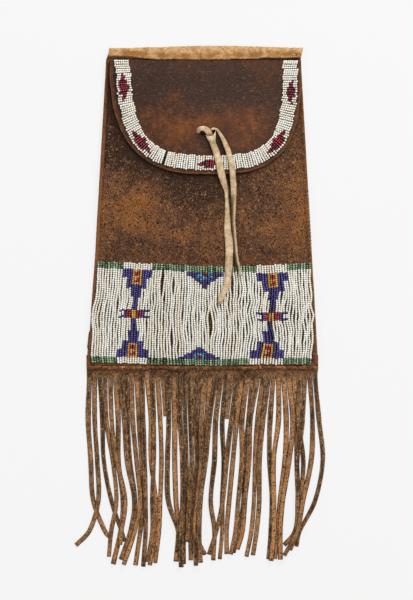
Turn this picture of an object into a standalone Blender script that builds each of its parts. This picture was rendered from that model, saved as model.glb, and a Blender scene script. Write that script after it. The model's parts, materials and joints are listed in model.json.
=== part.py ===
"""A beaded hide dispatch bag lying on its back with the flap closed.

X runs across the bag, Y runs from the fringe towards the flap's fold, and Z
is up from the surface that the back panel lies on. Sizes are in metres.
"""
import math

import bmesh
import bpy
from mathutils import Matrix, Vector

# Leather, hide and the clearance between touching pieces
LEATHER = 0.0020
CLEAR = 0.0003

# Body: two panels sewn along the sides and the bottom
BODY_LENGTH = 0.2520
BODY_TOP_WIDTH = 0.1560
BODY_BOTTOM_WIDTH = 0.1846
FRONT_INSET = 0.0008
WELT_WIDTH = 0.0060
WELT_THICKNESS = 0.0018
FULLNESS = 0.0058
FULLNESS_RISE = 0.1100
FULLNESS_FALL = 0.0850
FULLNESS_TOP_GAP = 0.0060

# Mouth: the front panel's upper edge, scooped between two horns
MOUTH_BELOW_TOP = 0.0200
MOUTH_SCOOP = 0.0300

# Top binding: a strip of hide rolled over the top edge
BINDING_DEPTH = 0.0100
BINDING_LEAF = 0.0012
BINDING_ROLL = 0.0034
BINDING_LEFT = -0.0760
BINDING_RIGHT = 0.0800
BINDING_COVER = 0.0016
BINDING_WAVE = 0.0003

# Flap: a deep rounded tongue that folds down over the mouth
FLAP_LEFT = -0.0744
FLAP_RIGHT = 0.0782
FLAP_DROP = 0.0916
FLAP_LEFT_ROUNDNESS = 2.6
FLAP_RIGHT_ROUNDNESS = 3.2

# Beads: glass beads on strings that are couched down side by side
BEAD_HEIGHT = 0.0019
BEAD_VALLEY = 0.0012
BORDER_MARGIN = 0.0030
BORDER_STRING_PITCH = 0.00188
BORDER_BEAD_LENGTH = 0.00166
BORDER_ROWS = 7
PANEL_STRINGS = 82
PANEL_ROWS = 48
PANEL_HEIGHT = 0.0812
PANEL_SIDE_MARGIN = 0.0027
PANEL_BOTTOM_MARGIN = 0.0004
PANEL_TOP_DIP = 0.0030
PANEL_STATION_ROW = 34
PANEL_BED_STRINGS = 8
BORDER_BED_STRINGS = 2
GROUND_RIB_STRINGS = 1
FIGURE_RIB_STRINGS = 2

# Fringe: one strip, sewn into the bottom seam and cut into strands
FRINGE_THICKNESS = 0.0018
FRINGE_SEAM_DEPTH = 0.0080
FRINGE_HEADER = 0.0110
FRINGE_INSET = 0.0005
FRINGE_FALL = 0.0080
STRAND_TAPER = 0.85
STRAND_SETTLE = 0.0120
STRAND_SIDE_GAP = 0.0002
STRAND_BEND = 0.5
STRAND_LAY_STEP = 0.0020
HEADER_GROUPS = 11
HEADER_BEND = 0.4
STRAND_STATIONS = (0.033, 0.065, 0.097, 0.121)

# Bottom welt: a lumpy rolled edge along the bottom seam
BOTTOM_WELT_WIDTH = 0.0032
BOTTOM_WELT_HEIGHT = 0.0022
BOTTOM_WELT_LUMP = 0.0003

# Thong: one strip of buckskin drawn through two slits in the flap, whose places are
# given across from the middle and down from the flap's root
THONG_WIDTH = 0.0048
THONG_THICKNESS = 0.0015
THONG_STEP = 0.0060
SPAN_PIECES = 12
SLIT_LEFT = (-0.0044, 0.0565)
SLIT_RIGHT = (0.0098, 0.0551)
SLIT_LENGTH = 0.0060
SLIT_WIDTH = 0.0026
KNOT_RISE = 0.0042

# Places that follow from the sizes above
BODY_TOP_Y = BODY_LENGTH / 2
BODY_BOTTOM_Y = -BODY_LENGTH / 2
SEAM_UNDER = LEATHER + CLEAR + WELT_THICKNESS + CLEAR
BINDING_TOP_Y = BODY_TOP_Y + BINDING_COVER
BINDING_LOW_Y = BINDING_TOP_Y - BINDING_DEPTH
BACK_LIFT = BINDING_LEAF + CLEAR
ROOT_UNDER = BACK_LIFT + LEATHER + CLEAR
BINDING_HEIGHT = ROOT_UNDER + BINDING_ROLL
HORN_Y = BODY_TOP_Y - MOUTH_BELOW_TOP
HINGE_Y = BINDING_LOW_Y
ROOT_Y = HINGE_Y - CLEAR
FLAP_CENTRE = (FLAP_LEFT + FLAP_RIGHT) / 2
FLAP_HALF_WIDTH = (FLAP_RIGHT - FLAP_LEFT) / 2
FLAP_ROUNDNESS = (FLAP_LEFT_ROUNDNESS + FLAP_RIGHT_ROUNDNESS) / 2
BORDER_WIDTH = BORDER_ROWS * BORDER_BEAD_LENGTH
PANEL_BOTTOM_Y = BODY_BOTTOM_Y + PANEL_BOTTOM_MARGIN
ROOT_LINE_Y = BODY_BOTTOM_Y - FRINGE_HEADER

# Motif steps, each as first row, last row and strings either side of the centre
FIGURE_UPPER_ROWS = ((0, 4, 6), (4, 9, 4), (9, 13, 2), (13, 19, 1))
FIGURE_UPPER_PATCH_ROWS = ((0, 7, 2),)
FIGURE_LOWER_ROWS = ((0, 5, 2), (5, 9, 4), (9, 13, 6))
FIGURE_LOWER_PATCH_ROWS = ((6, 13, 2),)
TOP_CENTRE_ROWS = ((0, 2, 7), (2, 3, 5), (3, 4, 4), (4, 5, 3), (5, 8, 1))
TOP_CENTRE_RING_ROWS = ((0, 3, 3), (3, 4, 2))
TOP_CENTRE_CORE_ROWS = ((0, 2, 1),)
BOTTOM_CENTRE_ROWS = ((0, 1, 1), (1, 3, 3), (3, 4, 5), (4, 5, 6), (5, 6, 8))
BOTTOM_CENTRE_RING_ROWS = ((3, 6, 2),)
BOTTOM_CENTRE_CORE_ROWS = ((4, 6, 1),)
BORDER_TRIANGLE_ROWS = ((1, 2, 6), (2, 3, 5), (3, 4, 3), (4, 5, 2), (5, 6, 1))
BORDER_TRIANGLES = (
    ("left_upper", 0.095),
    ("left_lower", 0.275),
    ("bottom", 0.500),
    ("right_lower", 0.730),
    ("right_upper", 0.905),
)
# Strings that are lost from the ground, as string, first row and last row
PANEL_LOST_ROWS = ((24, 4, 13), (29, 7, 13), (51, 5, 14), (44, 23, 33))

# Each strand's drift to the right of its root at the stations and at its tip, then
# its length below the header, all in millimetres, from left to right
STRANDS = (
    (-1, 1, 3, 12, 16, 126), (0, 2, 3, -4, -15, 133), (2, 3, 9, 17, 20, 130),
    (1, 6, 9, 5, 3, 142), (1, 5, 12, 9, 8, 132), (2, 2, 6, 4, -2, 148),
    (3, 5, 11, 8, 0, 144), (1, 3, 7, 5, 1, 139), (1, 4, 7, 3, -6, 148),
    (2, 4, 6, 3, -1, 149), (1, 2, 3, 3, 1, 150), (3, 3, 7, 7, 2, 149),
    (1, 1, 0, 0, -4, 146), (2, 3, 2, 1, -2, 147), (2, 30),
    (-1, -2, 0, 8, 7, 138), (1, 1, 2, 4, 2, 146), (1, 3, 3, 2, 2, 150),
    (1, 2, 2, 0, 0, 148), (1, 2, 0, -1, -2, 130), (1, 2, -1, -3, -3, 145),
    (1, 1, -2, -4, -3, 149), (-3, -3, -6, -8, 0, 140), (-3, -5, -9, -10, -10, 145),
    (-5, -8, -12, -13, -12, 146), (-4, -5, -8, -5, -6, 145), (-3, -2, -3, -3, -5, 144),
    (-4, 32), (-4, -8, -11, -16, -22, 140), (-4, -7, -10, -12, -12, 140),
    (-4, -4, -7, -9, -13, 140), (-3, -6, -7, -10, -15, 139), (-6, -7, -10, -12, -16, 136),
    (-4, -6, -7, -9, -13, 142), (-4, -7, -7, -9, -12, 141), (-4, -3, -1, -2, -4, 144),
    (1, -4, -4, -4, -6, 145), (2, 1, -3, -5, -7, 144), (3, 0, -5, -7, -7, 144),
    (2, 2, 3, 1, -8, 133), (-1, 3, 1, -1, -6, 131), (-2, -6, -6, -7, -12, 136),
    (2, 1, -6, -11, -21, 140), (3, 6, 0, -12, -15, 134),
)

# The tails' centre lines over the closed flap and the front panel, across from the
# middle and down from the flap's root
LEFT_TAIL = (
    (0.0062, 0.0628), (0.0096, 0.0703), (0.0132, 0.0841), (0.0163, 0.0945),
    (0.0188, 0.1073), (0.0192, 0.1233), (0.0196, 0.1353), (0.0208, 0.1465),
    (0.0208, 0.1597), (0.0198, 0.1721), (0.0168, 0.1822), (0.0136, 0.1937),
)
RIGHT_TAIL = (
    (0.0120, 0.0573), (0.0173, 0.0657), (0.0219, 0.0740), (0.0236, 0.0822),
    (0.0247, 0.0921), (0.0248, 0.1169), (0.0246, 0.1289), (0.0254, 0.1414),
    (0.0275, 0.1537), (0.0300, 0.1689), (0.0304, 0.1753),
)
# Turn of the right tail onto its edge, between these fractions of its length
RIGHT_TAIL_TURN = (0.45, 0.75, math.radians(72))


def lerp(start, end, share):
    return start + (end - start) * share


def ease(share):
    """Nought to one with a level start and end."""
    share = min(max(share, 0.0), 1.0)
    return share * share * (3 - 2 * share)


def clear_scene():
    for thing in list(bpy.data.objects):
        bpy.data.objects.remove(thing, do_unlink=True)


def make_material(name, colour, roughness):
    material = bpy.data.materials.new(name)
    material.use_nodes = True
    shader = material.node_tree.nodes["Principled BSDF"]
    shader.inputs["Base Color"].default_value = (*colour, 1.0)
    shader.inputs["Roughness"].default_value = roughness
    material.diffuse_color = (*colour, 1.0)
    return material


def add_object(name, verts, faces, material, parent=None):
    """One closed mesh as a named object, with its faces turned outwards."""
    mesh = bpy.data.meshes.new(name)
    mesh.from_pydata([tuple(vert) for vert in verts], [], faces)
    shape = bmesh.new()
    shape.from_mesh(mesh)
    bmesh.ops.recalc_face_normals(shape, faces=shape.faces)
    shape.to_mesh(mesh)
    shape.free()
    mesh.materials.append(material)
    made = bpy.data.objects.new(name, mesh)
    bpy.context.scene.collection.objects.link(made)
    if parent is not None:
        made.parent = parent
        made.matrix_parent_inverse = Matrix.Translation(-parent.location)
    return made


def half_width(y):
    """Half the body's width, which grows evenly towards the bottom."""
    share = (y - BODY_BOTTOM_Y) / BODY_LENGTH
    return lerp(BODY_BOTTOM_WIDTH, BODY_TOP_WIDTH, share) / 2


def fullness(x, y):
    """How far the front panel stands off the seam's level."""
    across = min(abs(x) / (half_width(y) - WELT_WIDTH), 1.0)
    rise = ease((y - BODY_BOTTOM_Y) / FULLNESS_RISE)
    fall = ease((BODY_TOP_Y - FULLNESS_TOP_GAP - y) / FULLNESS_FALL)
    return FULLNESS * (1 - across**2) ** 2 * rise * fall


def front_top(x, y):
    return SEAM_UNDER + LEATHER + fullness(x, y)


def back_under(y):
    """Underside of the back panel, which steps up onto the binding's back leaf."""
    return BACK_LIFT * ease((y - BINDING_LOW_Y + 0.0056) / 0.0048)


def flap_under(x, y):
    """Underside of the flap: on the front panel, then down to the back panel at its root."""
    settled = ease((y - HORN_Y) / (ROOT_Y - HORN_Y))
    return lerp(front_top(x, y) + CLEAR, ROOT_UNDER, settled)


def flap_top(x, y):
    return flap_under(x, y) + LEATHER


def below_root(place):
    """A point from its distance across and its distance down from the flap's root."""
    return Vector((place[0], ROOT_Y - place[1]))


def sheet(name, rows, under, thickness, material, parent=None):
    """A closed sheet through rows of points, with its underside at under(x, y)."""
    height, width = len(rows), len(rows[0])
    verts = []
    for lift in (0.0, thickness):
        for row in rows:
            verts.extend((x, y, under(x, y) + lift) for x, y in row)

    def vert(level, row, column):
        return (level * height + row) * width + column

    faces = []
    for level in (0, 1):
        for row in range(height - 1):
            for column in range(width - 1):
                faces.append((
                    vert(level, row, column),
                    vert(level, row, column + 1),
                    vert(level, row + 1, column + 1),
                    vert(level, row + 1, column),
                ))
    rim = [(0, column) for column in range(width)]
    rim += [(row, width - 1) for row in range(1, height)]
    rim += [(height - 1, column) for column in range(width - 2, -1, -1)]
    rim += [(row, 0) for row in range(height - 2, 0, -1)]
    for start, end in zip(rim, rim[1:] + rim[:1]):
        faces.append((vert(0, *start), vert(0, *end), vert(1, *end), vert(1, *start)))
    return add_object(name, verts, faces, material, parent)


def loft(name, sections, material, parent=None):
    """A closed tube through sections that all have the same number of corners."""
    corners = len(sections[0])
    verts = [corner for section in sections for corner in section]
    faces = [tuple(range(corners)), tuple(range(len(verts) - corners, len(verts)))]
    for k in range(len(sections) - 1):
        for c in range(corners):
            d = (c + 1) % corners
            faces.append((
                k * corners + c, k * corners + d,
                (k + 1) * corners + d, (k + 1) * corners + c,
            ))
    return add_object(name, verts, faces, material, parent)


def make_back_panel(material):
    steps = (0.0, 0.30, 0.60, 0.90, 0.935, 0.945, 0.955, 0.965, 1.0)
    rows = []
    for step in steps:
        y = lerp(BODY_BOTTOM_Y, BODY_TOP_Y, step)
        rows.append([(side * half_width(y), y) for side in (-1.0, 0.0, 1.0)])
    return sheet("back_panel", rows, lambda x, y: back_under(y), LEATHER, material)


def make_front_panel(material, across=14, along=14):
    rows = []
    for j in range(along + 1):
        row = []
        for i in range(across + 1):
            side = 2 * i / across - 1
            mouth_y = HORN_Y - MOUTH_SCOOP * (1 - side**2)
            y = lerp(BODY_BOTTOM_Y, mouth_y, j / along)
            row.append((side * (half_width(y) - FRONT_INSET), y))
        rows.append(row)
    return sheet(
        "front_panel", rows, lambda x, y: front_top(x, y) - LEATHER, LEATHER, material
    )


def make_side_welt(name, side, material):
    """A narrow strip between the two panels, along one side seam."""
    low_y = BODY_BOTTOM_Y + FRINGE_SEAM_DEPTH + CLEAR
    rows = []
    for share in (0.0, 0.5, 1.0):
        y = lerp(low_y, HORN_Y, share)
        edge = half_width(y) - FRONT_INSET / 2
        rows.append([(side * (edge - WELT_WIDTH), y), (side * edge, y)])
    return sheet(name, rows, lambda x, y: LEATHER + CLEAR, WELT_THICKNESS, material)


def arc(centre_y, centre_z, radius, start, end, steps):
    """Points of an arc in the YZ plane, angles in degrees from +Y towards +Z."""
    points = []
    for k in range(steps + 1):
        angle = math.radians(lerp(start, end, k / steps))
        points.append((centre_y + radius * math.cos(angle), centre_z + radius * math.sin(angle)))
    return points


def binding_section():
    """The strip in section: back leaf, fold, and a rolled front edge."""
    fold = BINDING_HEIGHT / 2
    roll = BINDING_ROLL / 2
    slot_y = BODY_TOP_Y + CLEAR
    outline = [(BINDING_LOW_Y, BINDING_LEAF), (BINDING_LOW_Y, 0.0)]
    outline += arc(BINDING_TOP_Y - fold, fold, fold, -90, 90, 8)
    outline += arc(BINDING_LOW_Y + roll, ROOT_UNDER + roll, roll, 90, 270, 6)
    outline += [(slot_y, ROOT_UNDER), (slot_y, BINDING_LEAF)]
    return outline


def make_binding(material, stations=7):
    section = binding_section()
    sections = []
    for k in range(stations):
        share = k / (stations - 1)
        x = lerp(BINDING_LEFT, BINDING_RIGHT, share)
        swell = BINDING_WAVE * (1 + math.sin(17 * share + 0.8))
        points = []
        for y, z in section:
            on_roll = z > ROOT_UNDER and y < BINDING_LOW_Y + BINDING_ROLL / 2
            points.append((x, y + (swell if on_roll else 0.0), z))
        sections.append(points)
    return loft("top_binding", sections, material)


def flap_edge(share, inset=0.0):
    """A point of the flap's curved edge, from the left root to the right root."""
    angle = math.pi * share
    cosine, sine = math.cos(angle), abs(math.sin(angle))
    roundness = FLAP_LEFT_ROUNDNESS if cosine > 0 else FLAP_RIGHT_ROUNDNESS
    power = 2 / roundness
    x = FLAP_CENTRE - FLAP_HALF_WIDTH * math.copysign(abs(cosine) ** power, cosine)
    y = ROOT_Y - FLAP_DROP * sine**power
    if inset == 0.0:
        return x, y
    step = 0.002
    before = flap_edge(max(share - step, 0.0))
    after = flap_edge(min(share + step, 1.0))
    run = Vector((after[0] - before[0], after[1] - before[1])).normalized()
    return x - run.y * inset, y + run.x * inset


def flap_rows():
    """Rows of the flap's grid, from the root to the rounded bottom."""
    rows = []
    columns = 12
    lines = 12
    last = 0.455
    for j in range(lines + 1):
        share = last * (j / lines) ** 1.15
        left = flap_edge(share)
        depth = (ROOT_Y - left[1]) / FLAP_DROP
        reach = (1 - depth**FLAP_RIGHT_ROUNDNESS) ** (1 / FLAP_RIGHT_ROUNDNESS)
        right = FLAP_CENTRE + FLAP_HALF_WIDTH * reach
        rows.append([(lerp(left[0], right, i / columns), left[1]) for i in range(columns + 1)])
    return rows


def make_slit_cutter(name, place):
    x, y = below_root(place)
    half_wide, half_long = SLIT_WIDTH / 2, SLIT_LENGTH / 2
    sections = []
    for z in (flap_under(x, y) - LEATHER, flap_top(x, y) + LEATHER):
        corners = ((-1, -1), (1, -1), (1, 1), (-1, 1))
        sections.append([(x + a * half_wide, y + b * half_long, z) for a, b in corners])
    cutter = loft(name, sections, bpy.data.materials["smoked_leather"])
    cutter.hide_render = True
    cutter.display_type = "WIRE"
    return cutter


def make_flap(material, hinge):
    flap = sheet("flap", flap_rows(), flap_under, LEATHER, material, hinge)
    for name, place in (("left_slit", SLIT_LEFT), ("right_slit", SLIT_RIGHT)):
        cut = flap.modifiers.new(name, "BOOLEAN")
        cut.operation = "DIFFERENCE"
        cut.solver = "EXACT"
        cut.object = make_slit_cutter(name + "_cutter", place)
    return flap


class BorderLattice:
    """Places a bead string and row along the flap's edge."""

    def __init__(self, samples=480):
        middle = BORDER_MARGIN + BORDER_WIDTH / 2
        self.shares = [k / samples for k in range(samples + 1)]
        points = [Vector(flap_edge(share, middle)) for share in self.shares]
        self.reach = [0.0]
        for before, after in zip(points, points[1:]):
            self.reach.append(self.reach[-1] + (after - before).length)
        self.strings = round(self.reach[-1] / BORDER_STRING_PITCH)
        self.rows = BORDER_ROWS
        self.stations = ()
        self.bed_strings = BORDER_BED_STRINGS
        self.gap_strings = CLEAR / 2 / BORDER_STRING_PITCH
        self.gap_rows = CLEAR / 2 / BORDER_BEAD_LENGTH

    def place(self, string, row):
        target = self.reach[-1] * string / self.strings
        last = len(self.reach) - 1
        k = next((k for k in range(1, last) if self.reach[k] >= target), last)
        part = (target - self.reach[k - 1]) / (self.reach[k] - self.reach[k - 1])
        share = lerp(self.shares[k - 1], self.shares[k], part)
        return flap_edge(share, BORDER_MARGIN + row * BORDER_BEAD_LENGTH)

    def carrier(self, x, y):
        return flap_top(x, min(y, ROOT_Y))


class PanelLattice:
    """Places a bead string and row on the front panel, row 0 at the top."""

    def __init__(self):
        self.strings = PANEL_STRINGS
        self.rows = PANEL_ROWS
        self.stations = (PANEL_STATION_ROW,)
        self.bed_strings = PANEL_BED_STRINGS
        self.gap_strings = CLEAR / 2 * PANEL_STRINGS / BODY_BOTTOM_WIDTH
        self.gap_rows = CLEAR / 2 * PANEL_ROWS / PANEL_HEIGHT

    def place(self, string, row):
        side = 2 * string / self.strings - 1
        top_y = PANEL_BOTTOM_Y + PANEL_HEIGHT - PANEL_TOP_DIP * (1 - side**2)
        y = lerp(top_y, PANEL_BOTTOM_Y, row / self.rows)
        return side * (half_width(y) - PANEL_SIDE_MARGIN), y

    def carrier(self, x, y):
        return front_top(x, y)


def runs_of(rows):
    """Unbroken runs in a set of row numbers, as first row and row past the last."""
    runs = []
    for row in sorted(rows):
        if runs and runs[-1][1] == row:
            runs[-1][1] = row + 1
        else:
            runs.append([row, row + 1])
    return runs


def sign(value):
    return (value > 0) - (value < 0)


class BeadField:
    """A ribbed solid over a set of lattice cells, with ribs along the bead strings."""

    def __init__(self, lattice, cells, rib_strings):
        self.lattice = lattice
        self.cells = cells
        self.rib_strings = rib_strings
        self.numbers = {}
        self.verts = []
        self.faces = []
        self.valley_rows = {}
        beds = self.find_beds()
        for valleys, runs in beds:
            for first, last in runs:
                for valley in valleys:
                    self.valley_rows.setdefault(valley, set()).update(self.breaks(first, last))
        for valleys, runs in beds:
            for first, last in runs:
                self.add_run(valleys, first, last)
        for valley in sorted(self.valley_rows):
            self.add_side(valley)

    def find_beds(self):
        """Beds of ribs, as the valleys from left to right and the runs of rows.

        Neighbouring strings with the same runs share a bed, which is one face across
        underneath.
        """
        beds = []
        for string in sorted({string for string, _ in self.cells}):
            runs = runs_of({row for s, row in self.cells if s == string})
            last = beds[-1] if beds else None
            room = last and string - last[0] < self.lattice.bed_strings
            if room and last[1] == string and last[2] == runs:
                last[1] = string + 1
            else:
                beds.append([string, string + 1, runs])
        step = self.rib_strings
        return [([*range(first, end, step), end], runs) for first, end, runs in beds]

    def breaks(self, first, last):
        inner = [row for row in self.lattice.stations if first < row < last]
        return [first, *inner, last]

    def has(self, string, row):
        return 1 if (string, row) in self.cells else 0

    def vertex(self, key, string, row, height):
        if key not in self.numbers:
            x, y = self.lattice.place(string, row)
            self.numbers[key] = len(self.verts)
            self.verts.append((x, y, self.lattice.carrier(x, y) + CLEAR + height))
        return self.numbers[key]

    def crest(self, left, right, row):
        """A vertex on top of a rib."""
        lengthways = sign(self.has(left, row) - self.has(left, row - 1))
        place = row + lengthways * self.lattice.gap_rows
        return self.vertex((left, row, 2), (left + right) / 2, place, BEAD_HEIGHT)

    def corner(self, string, row, level):
        """A vertex between ribs: level 0 under the beads, 1 in the valley."""
        right = self.has(string, row) + self.has(string, row - 1)
        left = self.has(string - 1, row) + self.has(string - 1, row - 1)
        after = self.has(string, row) + self.has(string - 1, row)
        before = self.has(string, row - 1) + self.has(string - 1, row - 1)
        across = string + sign(right - left) * self.lattice.gap_strings
        along = row + sign(after - before) * self.lattice.gap_rows
        return self.vertex((string, row, level), across, along, level * BEAD_VALLEY)

    def valley_line(self, valley, first, last, level):
        rows = [row for row in sorted(self.valley_rows[valley]) if first <= row <= last]
        return [self.corner(valley, row, level) for row in rows]

    def fan(self, pivot, line):
        for start, end in zip(line, line[1:]):
            self.faces.append((pivot, start, end))

    def add_run(self, valleys, first, last):
        """The ribs of a bed along one run of rows, with their shared underside."""
        left_side, right_side = valleys[0], valleys[-1]
        marks = self.breaks(first, last)
        for start, end in zip(marks, marks[1:]):
            for left, right in zip(valleys, valleys[1:]):
                crest_start = self.crest(left, right, start)
                crest_end = self.crest(left, right, end)
                for valley in (left, right):
                    line = self.valley_line(valley, start, end, 1)
                    self.fan(crest_start, line)
                    self.faces.append((crest_start, line[-1], crest_end))
            left_line = self.valley_line(left_side, start, end, 0)
            right_line = self.valley_line(right_side, start, end, 0)
            self.fan(right_line[0], left_line)
            self.fan(left_line[-1], right_line)
        for row in (first, last):
            wall = [self.corner(right_side, row, 0), self.corner(left_side, row, 0)]
            for left, right in zip(valleys, valleys[1:]):
                wall += [self.corner(left, row, 1), self.crest(left, right, row)]
            self.faces.append((*wall, self.corner(right_side, row, 1)))

    def add_side(self, valley):
        """The walls along a string's side, where the field's outline steps."""
        rows = sorted(self.valley_rows[valley])
        for start, end in zip(rows, rows[1:]):
            if self.has(valley - 1, start) == self.has(valley, start):
                continue
            self.faces.append((
                self.corner(valley, start, 0), self.corner(valley, end, 0),
                self.corner(valley, end, 1), self.corner(valley, start, 1),
            ))


def bead_field(name, lattice, cells, material, rib_strings, parent=None):
    field = BeadField(lattice, cells, rib_strings)
    return add_object(name, field.verts, field.faces, material, parent)


def block(first_string, last_string, first_row, last_row):
    return {
        (string, row)
        for string in range(first_string, last_string)
        for row in range(first_row, last_row)
    }


def stepped(steps, centre, top):
    """Cells of a motif that is symmetrical about a centre string."""
    cells = set()
    for first, last, reach in steps:
        cells |= block(centre - reach, centre + reach, top + first, top + last)
    return cells


def ground_from(seed, plain):
    """Every plain cell that joins the seed side to side."""
    found = {seed}
    waiting = [seed]
    while waiting:
        string, row = waiting.pop()
        for near in ((string + 1, row), (string - 1, row), (string, row + 1), (string, row - 1)):
            if near in plain and near not in found:
                found.add(near)
                waiting.append(near)
    return found


def figure_parts(side, centre, top, stem_centre, low_centre, low_top):
    """One stepped figure: two halves, the patches in them, and the cross between."""
    middle = top + FIGURE_UPPER_ROWS[-1][1]
    stem_top = middle + 4
    upper_patch = stepped(FIGURE_UPPER_PATCH_ROWS, centre, top)
    lower_patch = stepped(FIGURE_LOWER_PATCH_ROWS, low_centre, low_top)
    stem = block(stem_centre - 1, stem_centre + 1, stem_top, low_top)
    parts = {
        "upper_blue": stepped(FIGURE_UPPER_ROWS, centre, top) - upper_patch,
        "upper_yellow": upper_patch,
        "lower_blue": (stem | stepped(FIGURE_LOWER_ROWS, low_centre, low_top)) - lower_patch,
        "lower_yellow": lower_patch,
        "middle_yellow": block(centre - 1, centre + 1, middle, middle + 4),
        "left_red": block(centre - 3, centre - 1, middle, middle + 4),
        "right_red": block(centre + 1, centre + 3, middle, middle + 4),
    }
    left_notch = block(centre - 6, centre - 4, middle + 1, middle + 3)
    right_notch = block(centre + 4, centre + 6, middle + 1, middle + 3)
    parts["left_fork_blue"] = block(centre - 6, centre - 3, middle, middle + 4) - left_notch
    parts["right_fork_blue"] = block(centre + 3, centre + 6, middle, middle + 4) - right_notch
    return {f"{side}_figure_{name}": cells for name, cells in parts.items()}


def centre_parts(place, centre, top, outline, ring, core):
    """A centre triangle with a turquoise ring and a red core."""
    core_cells = stepped(core, centre, top)
    ring_cells = stepped(ring, centre, top) - core_cells
    blue_cells = stepped(outline, centre, top) - ring_cells - core_cells
    return {
        f"{place}_triangle_blue": blue_cells,
        f"{place}_triangle_turquoise": ring_cells,
        f"{place}_triangle_red": core_cells,
    }


def panel_parts():
    """Cells of every coloured patch and of the white ground between them."""
    parts = {}
    parts.update(figure_parts("left", 16, 3, 16, 16, 32))
    parts.update(figure_parts("right", 67, 4, 66, 65, 32))
    top_rows = (TOP_CENTRE_ROWS, TOP_CENTRE_RING_ROWS, TOP_CENTRE_CORE_ROWS)
    bottom_rows = (BOTTOM_CENTRE_ROWS, BOTTOM_CENTRE_RING_ROWS, BOTTOM_CENTRE_CORE_ROWS)
    parts.update(centre_parts("top", 42, 3, *top_rows))
    parts.update(centre_parts("bottom", 40, 39, *bottom_rows))
    edge = 3
    low = PANEL_ROWS - edge
    parts["top_green_left"] = block(0, 10, 0, edge)
    parts["top_green_middle"] = block(22, 61, 0, edge)
    parts["top_green_right"] = block(73, PANEL_STRINGS, 0, edge)
    parts["bottom_green_left"] = block(0, 10, low, PANEL_ROWS)
    parts["bottom_green_middle"] = block(22, 59, low, PANEL_ROWS)
    parts["bottom_green_right"] = block(71, PANEL_STRINGS, low, PANEL_ROWS)
    plain = block(0, PANEL_STRINGS, 0, PANEL_ROWS)
    for cells in parts.values():
        plain -= cells
    for string, first, last in PANEL_LOST_ROWS:
        plain -= block(string, string + 1, first, last)
    seeds = {
        "white_left": (0, 20),
        "white_main": (PANEL_STRINGS - 1, 20),
        "white_above_left": (16, 0),
        "white_below_left": (16, PANEL_ROWS - 1),
        "white_below_right": (65, PANEL_ROWS - 1),
    }
    for name, seed in seeds.items():
        parts[name] = ground_from(seed, plain)
    return parts


def make_panel_beads(colours):
    lattice = PanelLattice()
    for name, cells in panel_parts().items():
        shade = next(shade for shade in colours if shade in name)
        on_ground = shade in ("white", "green")
        rib_strings = GROUND_RIB_STRINGS if on_ground else FIGURE_RIB_STRINGS
        bead_field(f"panel_{name}", lattice, cells, colours[shade], rib_strings)


def make_border_beads(colours, hinge):
    lattice = BorderLattice()
    plain = block(0, lattice.strings, 0, lattice.rows)
    for place, share in BORDER_TRIANGLES:
        centre = round(share * lattice.strings)
        cells = set()
        for first, last, reach in BORDER_TRIANGLE_ROWS:
            cells |= block(centre - reach, centre + reach, first, last)
        plain -= cells
        name = f"flap_red_{place}"
        bead_field(name, lattice, cells, colours["red"], FIGURE_RIB_STRINGS, hinge)
    bead_field("flap_white_border", lattice, plain, colours["white"], FIGURE_RIB_STRINGS, hinge)


def header_under(y):
    """Underside of the fringe: in the seam first, then down onto the surface."""
    return (LEATHER + CLEAR) * (1 - ease((BODY_BOTTOM_Y - y) / FRINGE_FALL))


def curve_point(before, start, end, after, t):
    """A point of the smooth curve from start to end that also heeds its neighbours."""
    return 0.5 * (
        2 * start + (end - before) * t
        + (2 * before - 5 * start + 4 * end - after) * t**2
        + (3 * start - before - 3 * end + after) * t**3
    )


def spans_of(points):
    """Each span of a route, with the points before and after it."""
    ends = [2 * points[0] - points[1], *points, 2 * points[-1] - points[-2]]
    return [ends[k:k + 4] for k in range(len(points) - 1)]


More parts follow.
